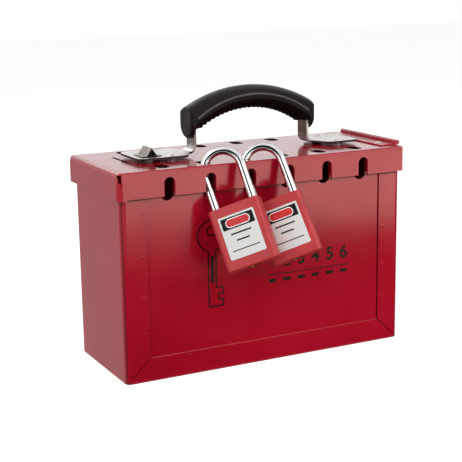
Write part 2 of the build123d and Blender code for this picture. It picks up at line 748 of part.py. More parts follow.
def latch_detent():
    """A bowed leaf spring between the lid and the slide that holds it where it is left."""
    x0 = latch_x + NECK_LENGTH / 2 + DETENT_NECK_GAP
    x1 = latch_x + LATCH_PAD_AFT - DETENT_END_GAP
    y = LATCH_Y + LATCH_PAD_WIDTH / 4
    middle = (x0 + x1) / 2
    end_z = lid_under - DETENT_LEAF / 2
    low_z = bolt_top + DETENT_LEAF / 2 + DETENT_TOUCH
    path = Spline((x0, 0, end_z), (middle, 0, low_z), (x1, 0, end_z))
    profile = Plane(origin=path @ 0, z_dir=path % 0, x_dir=(0, 1, 0)) * Rectangle(DETENT_WIDTH, DETENT_LEAF)
    return Pos(0, y, 0) * sweep(profile, path=path)


def latch_keeper():
    """A folded lip inside the case's left end; the bolt slides under it."""
    x0 = case_left + SHEET
    lip_top = CASE_HEIGHT - SLIDE_FIT
    lip_under = lip_top - KEEPER_SHEET
    half = KEEPER_WIDTH / 2
    wall = block(x0, x0 + KEEPER_SHEET, BOLT_Y - half, BOLT_Y + half, lip_top - KEEPER_DEPTH, lip_top)
    lip = block(x0, keeper_lip_edge, BOLT_Y - half, BOLT_Y + half, lip_under, lip_top)
    return wall + lip


# ---- padlocks ---------------------------------------------------------------
# Each padlock is made upright, its top face's middle at the origin, then put in its place.

leg = SHACKLE_PITCH / 2
cylinder_top = -LOCK_HEIGHT + CYLINDER_LENGTH
cam_top = cylinder_top + CAM_LENGTH
heel_end = -HEEL_DEPTH
heel_bore_end = heel_end - HEEL_BORE_SPARE
waist_bottom = heel_end + WAIST_RISE
heel_pin_z = waist_bottom + RELEASE_TRAVEL + WAIST_FIT + HEEL_PIN_DIAMETER / 2
waist_top = heel_pin_z + HEEL_PIN_DIAMETER / 2 + WAIST_FIT
heel_pin_x = -leg + SHACKLE_DIAMETER / 2


def lock_body():
    """The moulded body with the shackle's two bores, the cylinder's bore and the ball passage."""
    body = block(-LOCK_WIDTH / 2, LOCK_WIDTH / 2, -LOCK_THICKNESS / 2, LOCK_THICKNESS / 2, -LOCK_HEIGHT, 0)
    body = fillet(upright_edges(body), LOCK_CORNER)
    rims = body.faces().sort_by(Axis.Z)[-1].edges() + body.faces().sort_by(Axis.Z)[0].edges()
    body = fillet(rims, LOCK_EDGE)
    bore = SHACKLE_DIAMETER / 2 + SHACKLE_FIT
    body -= post(bore, -leg, 0, heel_bore_end, OVERCUT)
    body -= post(bore, leg, 0, -TOE_DEPTH - TOE_BORE_SPARE, OVERCUT)
    body -= post(CYLINDER_DIAMETER / 2 + PRESS_FIT, 0, 0, -LOCK_HEIGHT - OVERCUT, cylinder_top)
    body -= post(CAM_DIAMETER / 2 + CAM_CLEARANCE, 0, 0, cylinder_top - OVERCUT, cam_top + CAM_END_CLEARANCE)
    passage = BALL_DIAMETER / 2 + SHACKLE_FIT
    body -= rod(passage, (-leg, 0, -BALL_DEPTH), (leg, 0, -BALL_DEPTH))
    y = LOCK_THICKNESS
    body -= rod(HEEL_PIN_DIAMETER / 2, (heel_pin_x, -y, heel_pin_z), (heel_pin_x, y, heel_pin_z))
    return body


def lock_shackle():
    """A bent steel bar: a long heel leg on the left and a short toe leg on the right."""
    arch_z = SHACKLE_CLEARANCE + SHACKLE_DIAMETER / 2 - leg
    heel = Line((-leg, 0, heel_end), (-leg, 0, arch_z))
    arch = ThreePointArc((-leg, 0, arch_z), (0, 0, arch_z + leg), (leg, 0, arch_z))
    toe = Line((leg, 0, arch_z), (leg, 0, -TOE_DEPTH))
    path = Wire([heel, arch, toe])
    bar = sweep(Plane.XY.offset(heel_end) * Pos(-leg, 0) * Circle(SHACKLE_DIAMETER / 2), path=path)
    bar = chamfer(bar.faces().sort_by(Axis.Z)[0].edges(), SHACKLE_END_CHAMFER)
    waist = post(SHACKLE_DIAMETER, -leg, 0, waist_bottom, waist_top)
    core = (SHACKLE_DIAMETER - HEEL_PIN_DIAMETER) / 2 - WAIST_FIT
    waist -= post(core, -leg, 0, heel_end, waist_top + OVERCUT)
    bar -= waist
    for side in (-1, 1):
        x = leg - SHACKLE_DIAMETER / 2 - BALL_DIAMETER / 2 + BALL_POCKET_DEPTH
        bar -= Pos(side * x, 0, -BALL_DEPTH + BALL_POCKET_RISE) * Sphere(BALL_DIAMETER / 2)
    return bar


def lock_cylinder():
    """The pressed-in brass cylinder with the plug's bore."""
    z0 = -LOCK_HEIGHT
    shell = post(CYLINDER_DIAMETER / 2, 0, 0, z0, cylinder_top)
    return shell - post(PLUG_DIAMETER / 2 + PLUG_FIT, 0, 0, z0 - OVERCUT, cylinder_top + OVERCUT)


def lock_plug():
    """The turning plug with its keyway, and the cam on its inner end."""
    plug = post(PLUG_DIAMETER / 2, 0, 0, -LOCK_HEIGHT + PLUG_INSET, cylinder_top)
    half = KEYWAY_WIDTH / 2
    plug -= block(-half, half, -KEYWAY_BACK, PLUG_DIAMETER, -LOCK_HEIGHT - OVERCUT, cylinder_top - KEYWAY_END)
    cam = post(CAM_DIAMETER / 2, 0, 0, cylinder_top, cam_top)
    for side in (-1, 1):
        x = side * CAM_DIAMETER / 2
        cam -= post(CAM_DIAMETER / 4, x, 0, cylinder_top + CAM_COLLAR, cam_top + OVERCUT)
    return plug + cam


def lock_balls():
    """The two locking balls, drawn back beside the cam."""
    x = leg - SHACKLE_DIAMETER / 2 - BALL_DIAMETER / 2 - BALL_DRAW_BACK
    return joined(Pos(side * x, 0, -BALL_DEPTH) * Sphere(BALL_DIAMETER / 2) for side in (-1, 1))


def heel_pin():
    """The cross pin that keeps the heel leg in the body."""
    y = LOCK_THICKNESS / 2 - HEEL_PIN_INSET
    return rod(HEEL_PIN_DIAMETER / 2, (heel_pin_x, -y, heel_pin_z), (heel_pin_x, y, heel_pin_z))


def lock_label():
    """The bare adhesive label on the front face."""
    front = -LOCK_THICKNESS / 2
    half = LABEL_WIDTH / 2
    z0 = -LOCK_HEIGHT / 2 - LABEL_HEIGHT / 2
    label = block(-half, half, front - LABEL_THICKNESS, front, z0, z0 + LABEL_HEIGHT)
    return fillet(label.edges().filter_by(Axis.Y), LABEL_CORNER)


def hanging_place(slot, offset):
    right, forward, down = offset
    return slot_centres[slot] + right, -lid_side - forward, lid_under - down


def hung(hang, shape):
    slot, offset, turns = hang
    yaw, roll, lean = turns
    return Pos(*hanging_place(slot, offset)) * Rot(0, 0, yaw) * Rot(0, roll, 0) * Rot(lean, 0, 0) * shape


PADLOCK_PIECES = {
    "body": lock_body,
    "shackle": lock_shackle,
    "cylinder": lock_cylinder,
    "key_plug": lock_plug,
    "locking_balls": lock_balls,
    "heel_pin": heel_pin,
    "label": lock_label,
}


def write_parts():
    save("case_wrap", case_wrap())
    save("case_front_panel", case_panel(-1))
    save("case_back_panel", case_panel(1))
    save("hinge_case_leaf", hinge_case_leaf())
    save("hinge_case_rivets", hinge_case_rivets())
    save("hinge_pin", hinge_pin())
    save("hinge_lid_leaf", hinge_lid_leaf())
    save("hinge_lid_rivets", hinge_lid_rivets())
    save("lid_shell", lid_shell())
    save("handle_bracket_left", handle_bracket(-1, LEFT_FOOT_REACH))
    save("handle_bracket_right", handle_bracket(1, RIGHT_FOOT_REACH))
    save("handle_bracket_spacers", bracket_spacers())
    save("handle_bracket_rivets", bracket_rivets())
    grip_upper, grip_lower = grip_halves()
    save("grip_upper", grip_upper)
    save("grip_lower", grip_lower)
    save("grip_pins", grip_pins())
    save("latch_slide", latch_slide())
    save("latch_button", latch_button())
    save("latch_guides", latch_guides())
    save("latch_detent_spring", latch_detent())
    save("latch_keeper", latch_keeper())
    for name, hang in PADLOCK_HANGS.items():
        for piece, make in PADLOCK_PIECES.items():
            save(f"{name}_{piece}", hung(hang, make()))


write_parts()
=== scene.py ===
import math
import bmesh
import bpy
from mathutils import Matrix, Quaternion, Vector


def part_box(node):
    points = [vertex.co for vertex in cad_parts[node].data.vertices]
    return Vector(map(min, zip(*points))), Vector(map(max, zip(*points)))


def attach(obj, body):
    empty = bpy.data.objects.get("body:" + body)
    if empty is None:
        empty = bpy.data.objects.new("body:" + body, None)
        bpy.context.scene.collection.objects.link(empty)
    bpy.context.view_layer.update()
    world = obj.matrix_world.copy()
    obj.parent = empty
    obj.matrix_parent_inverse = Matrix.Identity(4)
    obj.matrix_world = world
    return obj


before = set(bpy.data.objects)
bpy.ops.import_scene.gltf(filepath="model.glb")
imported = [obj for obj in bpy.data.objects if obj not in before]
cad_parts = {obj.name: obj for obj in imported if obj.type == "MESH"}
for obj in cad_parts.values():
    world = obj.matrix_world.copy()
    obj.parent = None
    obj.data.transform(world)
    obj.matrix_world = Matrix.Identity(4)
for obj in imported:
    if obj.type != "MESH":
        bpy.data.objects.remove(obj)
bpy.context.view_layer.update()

# Folded steel case: both ends and the bottom in one 1.2 mm sheet, its flanges turned in
# round the front and back. Sprayed with gloss red powder and baked, so the film is thin
# and rubbed at the folds and softly rippled on the flats. Its seams, side cut edges and
# the line under the lid's skirt are darkened as painted shade, and its upward cut edges
# are lightened as a painted highlight.

CASE_RED = (0.42, 0.002, 0.017, 1)
CASE_RED_LIGHT = (0.49, 0.005, 0.025, 1)
RUBBED_RED = (0.62, 0.06, 0.06, 1)


def shader_group(name, inputs, outputs):
    """A node group with named sockets, and the sockets inside it that those lead to."""
    group = bpy.data.node_groups.new(name, "ShaderNodeTree")
    for label, value in inputs.items():
        kind = "NodeSocketColor" if isinstance(value, tuple) else "NodeSocketFloat"
        group.interface.new_socket(label, in_out="INPUT", socket_type=kind).default_value = value
    for label, kind in outputs.items():
        group.interface.new_socket(label, in_out="OUTPUT", socket_type=kind)
    way_in = group.nodes.new("NodeGroupInput")
    way_out = group.nodes.new("NodeGroupOutput")
    return group, way_in.outputs, way_out.inputs


def noise(tree, place, scale, detail=3.0, roughness=0.5):
    """A noise texture read at a place; its scale is in cells a metre."""
    node = tree.nodes.new("ShaderNodeTexNoise")
    node.inputs["Scale"].default_value = scale
    node.inputs["Detail"].default_value = detail
    node.inputs["Roughness"].default_value = roughness
    tree.links.new(place, node.inputs["Vector"])
    return node.outputs["Fac"]


def spread(tree, value, low, high, new_low=0.0, new_high=1.0):
    """A value moved from one range to another and held inside it."""
    node = tree.nodes.new("ShaderNodeMapRange")
    node.inputs["From Min"].default_value = low
    node.inputs["From Max"].default_value = high
    node.inputs["To Min"].default_value = new_low
    node.inputs["To Max"].default_value = new_high
    tree.links.new(value, node.inputs["Value"])
    return node.outputs["Result"]


def sums(tree, operation, a, b=0.0):
    """A sum on one or two values, each of them a socket or a plain number."""
    node = tree.nodes.new("ShaderNodeMath")
    node.operation = operation
    for socket, value in zip(node.inputs, (a, b)):
        if isinstance(value, (int, float)):
            socket.default_value = value
        else:
            tree.links.new(value, socket)
    return node.outputs["Value"]


def blended(tree, mask, first, second):
    """One colour over another by a mask."""
    node = tree.nodes.new("ShaderNodeMix")
    node.data_type = "RGBA"
    tree.links.new(mask, node.inputs["Factor"])
    for label, colour in (("A", first), ("B", second)):
        socket = [s for s in node.inputs if s.name == label and s.type == "RGBA"][0]
        if isinstance(colour, tuple):
            socket.default_value = colour
        else:
            tree.links.new(colour, socket)
    return [s for s in node.outputs if s.type == "RGBA"][0]


def edge_wear_group():
    """How far a spot is on a sharp edge, broken up as rubbing is."""
    group, given, result = shader_group(
        "edge_wear",
        {"Reach": 0.0005, "Amount": 1.0, "Patches": 120.0},
        {"Mask": "NodeSocketFloat"},
    )
    bevel = group.nodes.new("ShaderNodeBevel")
    bevel.samples = 6
    group.links.new(given["Reach"], bevel.inputs["Radius"])
    surface = group.nodes.new("ShaderNodeNewGeometry")
    turn = group.nodes.new("ShaderNodeVectorMath")
    turn.operation = "DOT_PRODUCT"
    group.links.new(bevel.outputs["Normal"], turn.inputs[0])
    group.links.new(surface.outputs["Normal"], turn.inputs[1])
    edge = spread(group, turn.outputs["Value"], 0.995, 0.86)
    where = group.nodes.new("ShaderNodeTexCoord").outputs["Object"]
    patches = group.nodes.new("ShaderNodeTexNoise")
    patches.inputs["Detail"].default_value = 4.0
    group.links.new(where, patches.inputs["Vector"])
    group.links.new(given["Patches"], patches.inputs["Scale"])
    broken = sums(group, "MULTIPLY", edge, spread(group, patches.outputs["Fac"], 0.42, 0.6))
    group.links.new(sums(group, "MULTIPLY", broken, given["Amount"]), result["Mask"])
    return group


def powder_film_group():
    """The colour drift, the sheen drift and the ripple of a baked powder film."""
    group, given, result = shader_group(
        "powder_film",
        {"Paint": CASE_RED, "Paint Light": CASE_RED_LIGHT, "Sheen": 0.2},
        {"Color": "NodeSocketColor", "Roughness": "NodeSocketFloat", "Height": "NodeSocketFloat"},
    )
    where = group.nodes.new("ShaderNodeTexCoord").outputs["Object"]
    drift = spread(group, noise(group, where, 14.0, 2.0), 0.35, 0.65)
    group.links.new(blended(group, drift, given["Paint"], given["Paint Light"]), result["Color"])
    haze = spread(group, noise(group, where, 45.0, 5.0, 0.6), 0.3, 0.75, -0.025, 0.05)
    specks = spread(group, noise(group, where, 2600.0, 1.0), 0.66, 0.8, 0.0, 0.12)
    sheen = sums(group, "ADD", sums(group, "ADD", given["Sheen"], haze), specks)
    group.links.new(sheen, result["Roughness"])
    ripple = sums(group, "MULTIPLY", noise(group, where, 420.0, 2.0), 0.75)
    fine = sums(group, "MULTIPLY", noise(group, where, 1500.0, 1.0), 0.25)
    group.links.new(sums(group, "ADD", ripple, fine), result["Height"])
    return group


edge_wear = edge_wear_group()
powder_film = powder_film_group()


def placed_group(tree, group, values):
    """A copy of a shader group in a material, with its own values."""
    node = tree.nodes.new("ShaderNodeGroup")
    node.node_tree = group
    for label, value in values.items():
        node.inputs[label].default_value = value
    return node.outputs


def new_finish(name):
    """An empty material with its one surface shader."""
    material = bpy.data.materials.new(name)
    material.use_nodes = True
    surface = material.node_tree.nodes["Principled BSDF"]
    return material, material.node_tree, surface.inputs


def bumped(tree, height, depth, inputs):
    """A height pattern pressed into the surface, its depth in metres."""
    bump = tree.nodes.new("ShaderNodeBump")
    bump.inputs["Strength"].default_value = 1.0
    bump.inputs["Distance"].default_value = depth
    tree.links.new(height, bump.inputs["Height"])
    tree.links.new(bump.outputs["Normal"], inputs["Normal"])


def powder_coat(name, sheen, wear):
    """Baked red powder of a given sheen, its edges rubbed through by a given amount."""
    material, tree, inputs = new_finish(name)
    film = placed_group(tree, powder_film, {"Sheen": sheen})
    rubbed = placed_group(tree, edge_wear, {"Reach": 0.0006, "Amount": wear, "Patches": 160.0})
    tree.links.new(blended(tree, rubbed["Mask"], film["Color"], RUBBED_RED), inputs["Base Color"])
    tree.links.new(film["Roughness"], inputs["Roughness"])
    inputs["Specular IOR Level"].default_value = 0.42
    bumped(tree, film["Height"], 0.00003, inputs)
    return material


def coat(nodes, material):
    """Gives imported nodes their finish."""
    for name in nodes:
        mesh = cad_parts[name].data
        mesh.materials.clear()
        mesh.materials.append(material)


def split_up(tree, coordinate):
    """The X, Y and Z of a spot's place ("Object") or of the way that it faces ("Normal")."""
    parts = tree.nodes.new("ShaderNodeSeparateXYZ")
    source = tree.nodes.new("ShaderNodeTexCoord").outputs[coordinate]
    tree.links.new(source, parts.inputs["Vector"])
    return parts.outputs


def all_of(tree, first, *others):
    """Masks multiplied, so that only what lies in every one of them is left."""
    for other in others:
        first = sums(tree, "MULTIPLY", first, other)
    return first


def painted_over(tree, mask, colour):
    """Lays another colour over a material's own where a mask says."""
    base = tree.nodes["Principled BSDF"].inputs["Base Color"]
    tree.links.new(blended(tree, mask, base.links[0].from_socket, colour), base)


# Painted shade for the seams, the side cut edges and the line under the lid's skirt, and a
# painted highlight for the upward cut edges.
PAINTED_SHADE_RED = (0.12, 0.0, 0.004, 1)
PAINTED_HIGHLIGHT_RED = (0.60, 0.13, 0.12, 1)
PAINTED_SHADE_ROUGHER = 0.3
SIDE_FLANGE = 0.0189
BOTTOM_FLANGE = 0.0175
SEAM_WIDTH = 0.0006
SEAM_MARGIN = 0.0002
MITRE_WIDTH = 0.0009
PANEL_MARGIN = 0.0003
LINES_FROM_Y = 0.0400
SKIRT_LINE_DROP = 0.0011
SKIRT_LINE_RISE = 0.0005
SKIRT_FADE = 0.0004

wrap_low, wrap_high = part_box("case_wrap")
window_half = wrap_high.x - SIDE_FLANGE
panel_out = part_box("case_back_panel")[1].y
skirt_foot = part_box("lid_shell")[0].z


def case_coat():
    """The case's powder, with painted shade in the flanges' seams, on their side cut edges and in
    the line under the lid's skirt, and a painted highlight on the upward cut edges."""
    material = powder_coat("case_powder_coat", sheen=0.15, wear=0.5)
    tree = material.node_tree
    place = split_up(tree, "Object")
    facing = split_up(tree, "Normal")
    height = place["Z"]
    out_x = sums(tree, "ABSOLUTE", place["X"])
    out_y = sums(tree, "ABSOLUTE", place["Y"])
    flat = spread(tree, sums(tree, "ABSOLUTE", facing["Y"]), 0.4, 0.7)
    upward = spread(tree, facing["Z"], 0.4, 0.7)
    cut = all_of(
        tree,
        sums(tree, "LESS_THAN", out_x, window_half + SEAM_MARGIN),
        sums(tree, "GREATER_THAN", height, BOTTOM_FLANGE - SEAM_MARGIN),
        sums(tree, "GREATER_THAN", out_y, panel_out - PANEL_MARGIN),
        sums(tree, "SUBTRACT", 1, flat),
    )
    seam = all_of(
        tree,
        spread(tree, out_x, window_half - SEAM_WIDTH, window_half - SEAM_WIDTH / 2),
        sums(tree, "LESS_THAN", out_y, panel_out + PANEL_MARGIN),
    )
    slope = BOTTOM_FLANGE / SIDE_FLANGE
    along = sums(tree, "ADD", height, sums(tree, "MULTIPLY", out_x, slope))
    off_mitre = sums(tree, "SUBTRACT", along, BOTTOM_FLANGE + slope * window_half)
    mitre = all_of(
        tree,
        sums(tree, "LESS_THAN", sums(tree, "ABSOLUTE", off_mitre), MITRE_WIDTH / 2),
        sums(tree, "GREATER_THAN", out_x, window_half),
    )
    line_foot = skirt_foot - SKIRT_LINE_DROP
    line_top = skirt_foot + SKIRT_LINE_RISE
    under_skirt = all_of(
        tree,
        spread(tree, height, line_foot - SKIRT_FADE, line_foot + SKIRT_FADE / 2),
        spread(tree, height, line_top + SKIRT_FADE, line_top),
    )
    lines = sums(tree, "MAXIMUM", sums(tree, "MAXIMUM", seam, mitre), under_skirt)
    lines = all_of(tree, lines, flat, sums(tree, "GREATER_THAN", out_y, LINES_FROM_Y))
    shaded_cut = all_of(tree, cut, sums(tree, "SUBTRACT", 1, upward))
    # The thin mask is the painted shade: seams, the line under the skirt and the side cut edges.
    thin = sums(tree, "MAXIMUM", shaded_cut, lines)
    # Painted highlight on the upward cut edges, then the painted shade.
    painted_over(tree, all_of(tree, cut, upward), PAINTED_HIGHLIGHT_RED)
    painted_over(tree, thin, PAINTED_SHADE_RED)
    sheen = tree.nodes["Principled BSDF"].inputs["Roughness"]
    rougher = sums(tree, "MULTIPLY", thin, PAINTED_SHADE_ROUGHER)
    tree.links.new(sums(tree, "ADD", sheen.links[0].from_socket, rougher), sheen)
    return material


coat(["case_wrap", "case_front_panel", "case_back_panel"], case_coat())

# Spot welds: the small raised nuggets where the flanges are welded to the front and back
# panels, painted over with the case.

WELD_RADIUS = 0.0014
WELD_RISE = 0.0001
WELD_SUNK = 0.4
WELD_INSET = 0.0036
SIDE_WELD_HEIGHTS = (0.036, 0.062, 0.0925, 0.123)
FOOT_WELD_PLACES = (-0.066, -0.022, 0.022, 0.066)
FOOT_WELD_Z = 0.0145


def finished(name, bm, material, body):
    """A made mesh as a piece of the object, riding on its body."""
    bmesh.ops.remove_doubles(bm, verts=bm.verts, dist=1e-7)
    bmesh.ops.recalc_face_normals(bm, faces=bm.faces)
    mesh = bpy.data.meshes.new(name)
    bm.to_mesh(mesh)
    bm.free()
    piece = bpy.data.objects.new(name, mesh)
    bpy.context.scene.collection.objects.link(piece)
    mesh.materials.append(material)
    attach(piece, body)
    return piece


def smoothed(piece, angle):
    """Smooth shading between faces that meet at a shallow angle."""
    mesh = piece.data
    mesh.shade_smooth()
    mesh.set_sharp_from_angle(angle=math.radians(angle))


def nugget(radius, rise):
    """A shallow round mound with its flat side closed."""
    bm = bmesh.new()
    bmesh.ops.create_uvsphere(bm, u_segments=20, v_segments=10, radius=radius)
    bmesh.ops.scale(bm, vec=(1, 1, rise / radius), verts=bm.verts)
    cut = bmesh.ops.bisect_plane(
        bm,
        geom=bm.verts[:] + bm.edges[:] + bm.faces[:],
        plane_co=(0, 0, -rise * WELD_SUNK),
        plane_no=(0, 0, -1),
        clear_outer=True,
    )
    rim = [g for g in cut["geom_cut"] if isinstance(g, bmesh.types.BMEdge)]
    bmesh.ops.contextual_create(bm, geom=rim)
    mesh = bpy.data.meshes.new("nugget")
    bm.to_mesh(mesh)
    bm.free()
    return mesh


def stamped(bm, mesh, place):
    """A copy of a small mesh added at a place."""
    before = len(bm.verts)
    bm.from_mesh(mesh)
    bm.verts.ensure_lookup_table()
    bmesh.ops.transform(bm, matrix=place, verts=bm.verts[before:])


side_weld_x = window_half + WELD_INSET
weld_places = [(x, z) for x in (-side_weld_x, side_weld_x) for z in SIDE_WELD_HEIGHTS]
weld_places += [(x, FOOT_WELD_Z) for x in FOOT_WELD_PLACES]
welds = bmesh.new()
weld_nugget = nugget(WELD_RADIUS, WELD_RISE)
for side, y in ((-1, wrap_high.y), (1, wrap_low.y)):
    face = Matrix.Rotation(math.radians(90 * side), 4, "X")
    for x, z in weld_places:
        stamped(welds, weld_nugget, Matrix.Translation((x, y, z)) @ face)
weld_paint = powder_coat("weld_powder_coat", sheen=0.15, wear=0.0)
smoothed(finished("case_spot_welds", welds, weld_paint, "case"), 60)

# Front print: a plain key mark and a row of place numbers, screen printed in dark ink on
# the front panel after the powder is baked. A film too thin to feel.

INK_THICKNESS = 0.00005
INK_BLACK = (0.010, 0.003, 0.004, 1)
KEY_LINE = 0.0011
KEY_CENTRE_X = -0.046
KEY_BOW_Z = 0.1015
KEY_BOW_RADIUS = 0.0115
KEY_BOW_STEPS = 40
KEY_HOLE_RISE = 0.0035
KEY_HOLE_RADIUS = 0.0036
KEY_HOLE_STEPS = 28
KEY_HALF_SHAFT = 0.0030
KEY_TIP_Z = 0.0485
KEY_TOOTH_X = 0.0085
KEY_TOOTH_HEIGHT = 0.0050
KEY_NOTCH_X = 0.0052
KEY_NOTCH_HEIGHT = 0.0040
SHAFT_LINE_HALF_WIDTH = 0.0012
SHAFT_LINE_Z = (0.0665, 0.0865)
NUMBER_COUNT = 6
NUMBER_START_X = 0.0005
NUMBER_PITCH = 0.0124
NUMBER_Z = 0.0715
NUMERAL_SIZE = 0.01372
NUMERAL_BOLDER = 0.00035
RULE_BEFORE = 0.002
RULE_SHORT = 0.004
RULE_Z = (0.0655, 0.0662)
TICK_WIDTH = 0.0064
TICK_Z = (0.0600, 0.0625)


def ink(name, tone):
    """Screen ink, a little uneven in its cover."""
    material, tree, inputs = new_finish(name)
    where = tree.nodes.new("ShaderNodeTexCoord").outputs["Object"]
    cover = spread(tree, noise(tree, where, 900.0, 3.0), 0.3, 0.75)
    thin = tuple(c * 1.7 + 0.002 for c in tone[:3]) + (1,)
    tree.links.new(blended(tree, cover, tone, thin), inputs["Base Color"])
    tree.links.new(spread(tree, cover, 0, 1, 0.22, 0.34), inputs["Roughness"])
    inputs["Specular IOR Level"].default_value = 0.3
    bumped(tree, noise(tree, where, 2500.0, 1.0), 0.00001, inputs)
    return material


def printed_bar(bm, across, up, corner=0.0, back_y=0.0):
    """A bar of ink in the XZ plane, its back on a plane and its front towards -Y."""
    left, right = across
    foot, top = up
    made = bmesh.ops.create_cube(bm, size=1)["verts"]
    bmesh.ops.scale(bm, vec=(right - left, INK_THICKNESS, top - foot), verts=made)
    middle = ((left + right) / 2, back_y - INK_THICKNESS / 2, (foot + top) / 2)
    bmesh.ops.translate(bm, vec=middle, verts=made)
    if corner:
        own_edges = [e for e in bm.edges if e.verts[0] in made and e.verts[1] in made]
        depths = [abs(e.verts[0].co.y - e.verts[1].co.y) for e in own_edges]
        through = [e for e, depth in zip(own_edges, depths) if depth > INK_THICKNESS / 2]
        bmesh.ops.bevel(
            bm,
            geom=through,
            offset=corner,
            segments=6,
            profile=0.5,
            affect="EDGES",
            material=-1,
        )


def printed_outlines(bm, loops):
    """Closed lines of ink in the XZ plane, each bridged between a pair of matching rings."""
    for outer, inner in loops:
        rings = []
        for ring in (outer, inner):
            verts = [bm.verts.new((x, 0, z)) for x, z in ring]
            rings += [bm.edges.new((a, b)) for a, b in zip(verts, verts[1:] + verts[:1])]
        faces = bmesh.ops.bridge_loops(bm, edges=rings)["faces"]
        raised = bmesh.ops.extrude_face_region(bm, geom=faces)["geom"]
        top = [g for g in raised if isinstance(g, bmesh.types.BMVert)]
        bmesh.ops.translate(bm, vec=(0, -INK_THICKNESS, 0), verts=top)


def key_shape(grow):
    """The outline of a plain key, bow up, drawn outside or inside its line by an offset."""
    half_shaft = KEY_HALF_SHAFT + grow
    bow = KEY_BOW_RADIUS + grow
    start = math.asin(half_shaft / bow)
    points = []
    for i in range(KEY_BOW_STEPS + 1):
        turn = -math.pi / 2 + start + (2 * math.pi - 2 * start) * i / KEY_BOW_STEPS
        points.append((bow * math.cos(turn), KEY_BOW_Z + bow * math.sin(turn)))
    tooth = KEY_TOOTH_X + grow
    notch = KEY_NOTCH_X + grow
    tip = KEY_TIP_Z - grow
    notch_foot = KEY_TIP_Z + KEY_TOOTH_HEIGHT + grow
    notch_top = KEY_TIP_Z + KEY_TOOTH_HEIGHT + KEY_NOTCH_HEIGHT - grow
    bit_top = KEY_TIP_Z + 2 * KEY_TOOTH_HEIGHT + KEY_NOTCH_HEIGHT + grow
    points += [(-half_shaft, tip), (tooth, tip), (tooth, notch_foot), (notch, notch_foot)]
    points += [(notch, notch_top), (tooth, notch_top), (tooth, bit_top), (half_shaft, bit_top)]
    return [(KEY_CENTRE_X + x, z) for x, z in points]


def hole_shape(grow):
    """The round hole in the key's bow, drawn outside or inside its line by an offset."""
    radius = KEY_HOLE_RADIUS + grow
    centre_z = KEY_BOW_Z + KEY_HOLE_RISE
    turns = [2 * math.pi * i / KEY_HOLE_STEPS for i in range(KEY_HOLE_STEPS)]
    return [(KEY_CENTRE_X + radius * math.cos(t), centre_z + radius * math.sin(t)) for t in turns]


black_ink = ink("black_screen_ink", INK_BLACK)
panel_face_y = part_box("case_front_panel")[0].y
number_starts = [NUMBER_START_X + i * NUMBER_PITCH for i in range(NUMBER_COUNT)]
rule_end = NUMBER_START_X + NUMBER_COUNT * NUMBER_PITCH - RULE_SHORT
key_lines = [(shape(KEY_LINE / 2), shape(-KEY_LINE / 2)) for shape in (key_shape, hole_shape)]
mark = bmesh.new()
printed_outlines(mark, key_lines)
shaft_line = (KEY_CENTRE_X - SHAFT_LINE_HALF_WIDTH, KEY_CENTRE_X + SHAFT_LINE_HALF_WIDTH)
printed_bar(mark, shaft_line, SHAFT_LINE_Z)
printed_bar(mark, (NUMBER_START_X - RULE_BEFORE, rule_end), RULE_Z)
for x in number_starts:
    printed_bar(mark, (x, x + TICK_WIDTH), TICK_Z)
bmesh.ops.translate(mark, vec=(0, panel_face_y, 0), verts=mark.verts)
finished("front_key_mark", mark, black_ink, "case")


def printed_number(bm, text, x, y, z):
    """A numeral as a thin film standing in the XZ plane."""
    curve = bpy.data.curves.new("numeral", "FONT")
    curve.body = text
    curve.size = NUMERAL_SIZE
    curve.extrude = INK_THICKNESS / 2
    curve.offset = NUMERAL_BOLDER
    holder = bpy.data.objects.new("numeral", curve)
    mesh = bpy.data.meshes.new_from_object(holder)
    upright = Matrix.Rotation(math.pi / 2, 4, "X")
    mesh.transform(Matrix.Translation((x, y - INK_THICKNESS / 2, z)) @ upright)
    bm.from_mesh(mesh)
    bpy.data.objects.remove(holder)
    bpy.data.meshes.remove(mesh)


numbers = bmesh.new()
for number, x in enumerate(number_starts, start=1):
    printed_number(numbers, str(number), x, panel_face_y, NUMBER_Z)
finished("front_place_numbers", numbers, black_ink, "case")

# Latch keeper: a folded lip of the same painted steel, spot welded inside the left end,
# which the latch bolt slides under.

coat(["latch_keeper"], powder_coat("keeper_powder_coat", sheen=0.26, wear=0.8))

# Hinge: two leaves of thin steel with rolled knuckles on a plain pin, painted with the
# case and fixed with dome-headed steel rivets, one leaf on the end and one on the lid.

STEEL = (0.60, 0.585, 0.555, 1)
STEEL_DULL = (0.44, 0.42, 0.385, 1)
STEEL_BRIGHT = (0.80, 0.79, 0.77, 1)
BRUSH_DEPTH = 0.000012


def brushed_group():
    """Rolling lines in sheet metal, drawn out along an axis, and its cloudy stains."""
    group, given, result = shader_group(
        "brushed_lines",
        {"Along X": 1.0, "Along Y": 1.0, "Along Z": 1.0, "Fineness": 900.0},
        {"Lines": "NodeSocketFloat", "Stains": "NodeSocketFloat"},
    )
    where = group.nodes.new("ShaderNodeTexCoord").outputs["Object"]
    stretch = group.nodes.new("ShaderNodeCombineXYZ")
    for axis in "XYZ":
        group.links.new(given[f"Along {axis}"], stretch.inputs[axis])
    scaled = group.nodes.new("ShaderNodeVectorMath")
    scaled.operation = "MULTIPLY"
    group.links.new(where, scaled.inputs[0])
    group.links.new(stretch.outputs["Vector"], scaled.inputs[1])
    lines = group.nodes.new("ShaderNodeTexNoise")
    lines.inputs["Detail"].default_value = 4.0
    group.links.new(scaled.outputs["Vector"], lines.inputs["Vector"])
    group.links.new(given["Fineness"], lines.inputs["Scale"])
    group.links.new(lines.outputs["Fac"], result["Lines"])
    group.links.new(noise(group, where, 70.0, 5.0, 0.65), result["Stains"])
    return group


brushed_lines = brushed_group()


def brushed(tree, stretch, fineness):
    """The brushed lines placed in a material, drawn out along an axis."""
    values = {f"Along {axis}": part for axis, part in zip("XYZ", stretch)}
    return placed_group(tree, brushed_lines, values | {"Fineness": fineness})


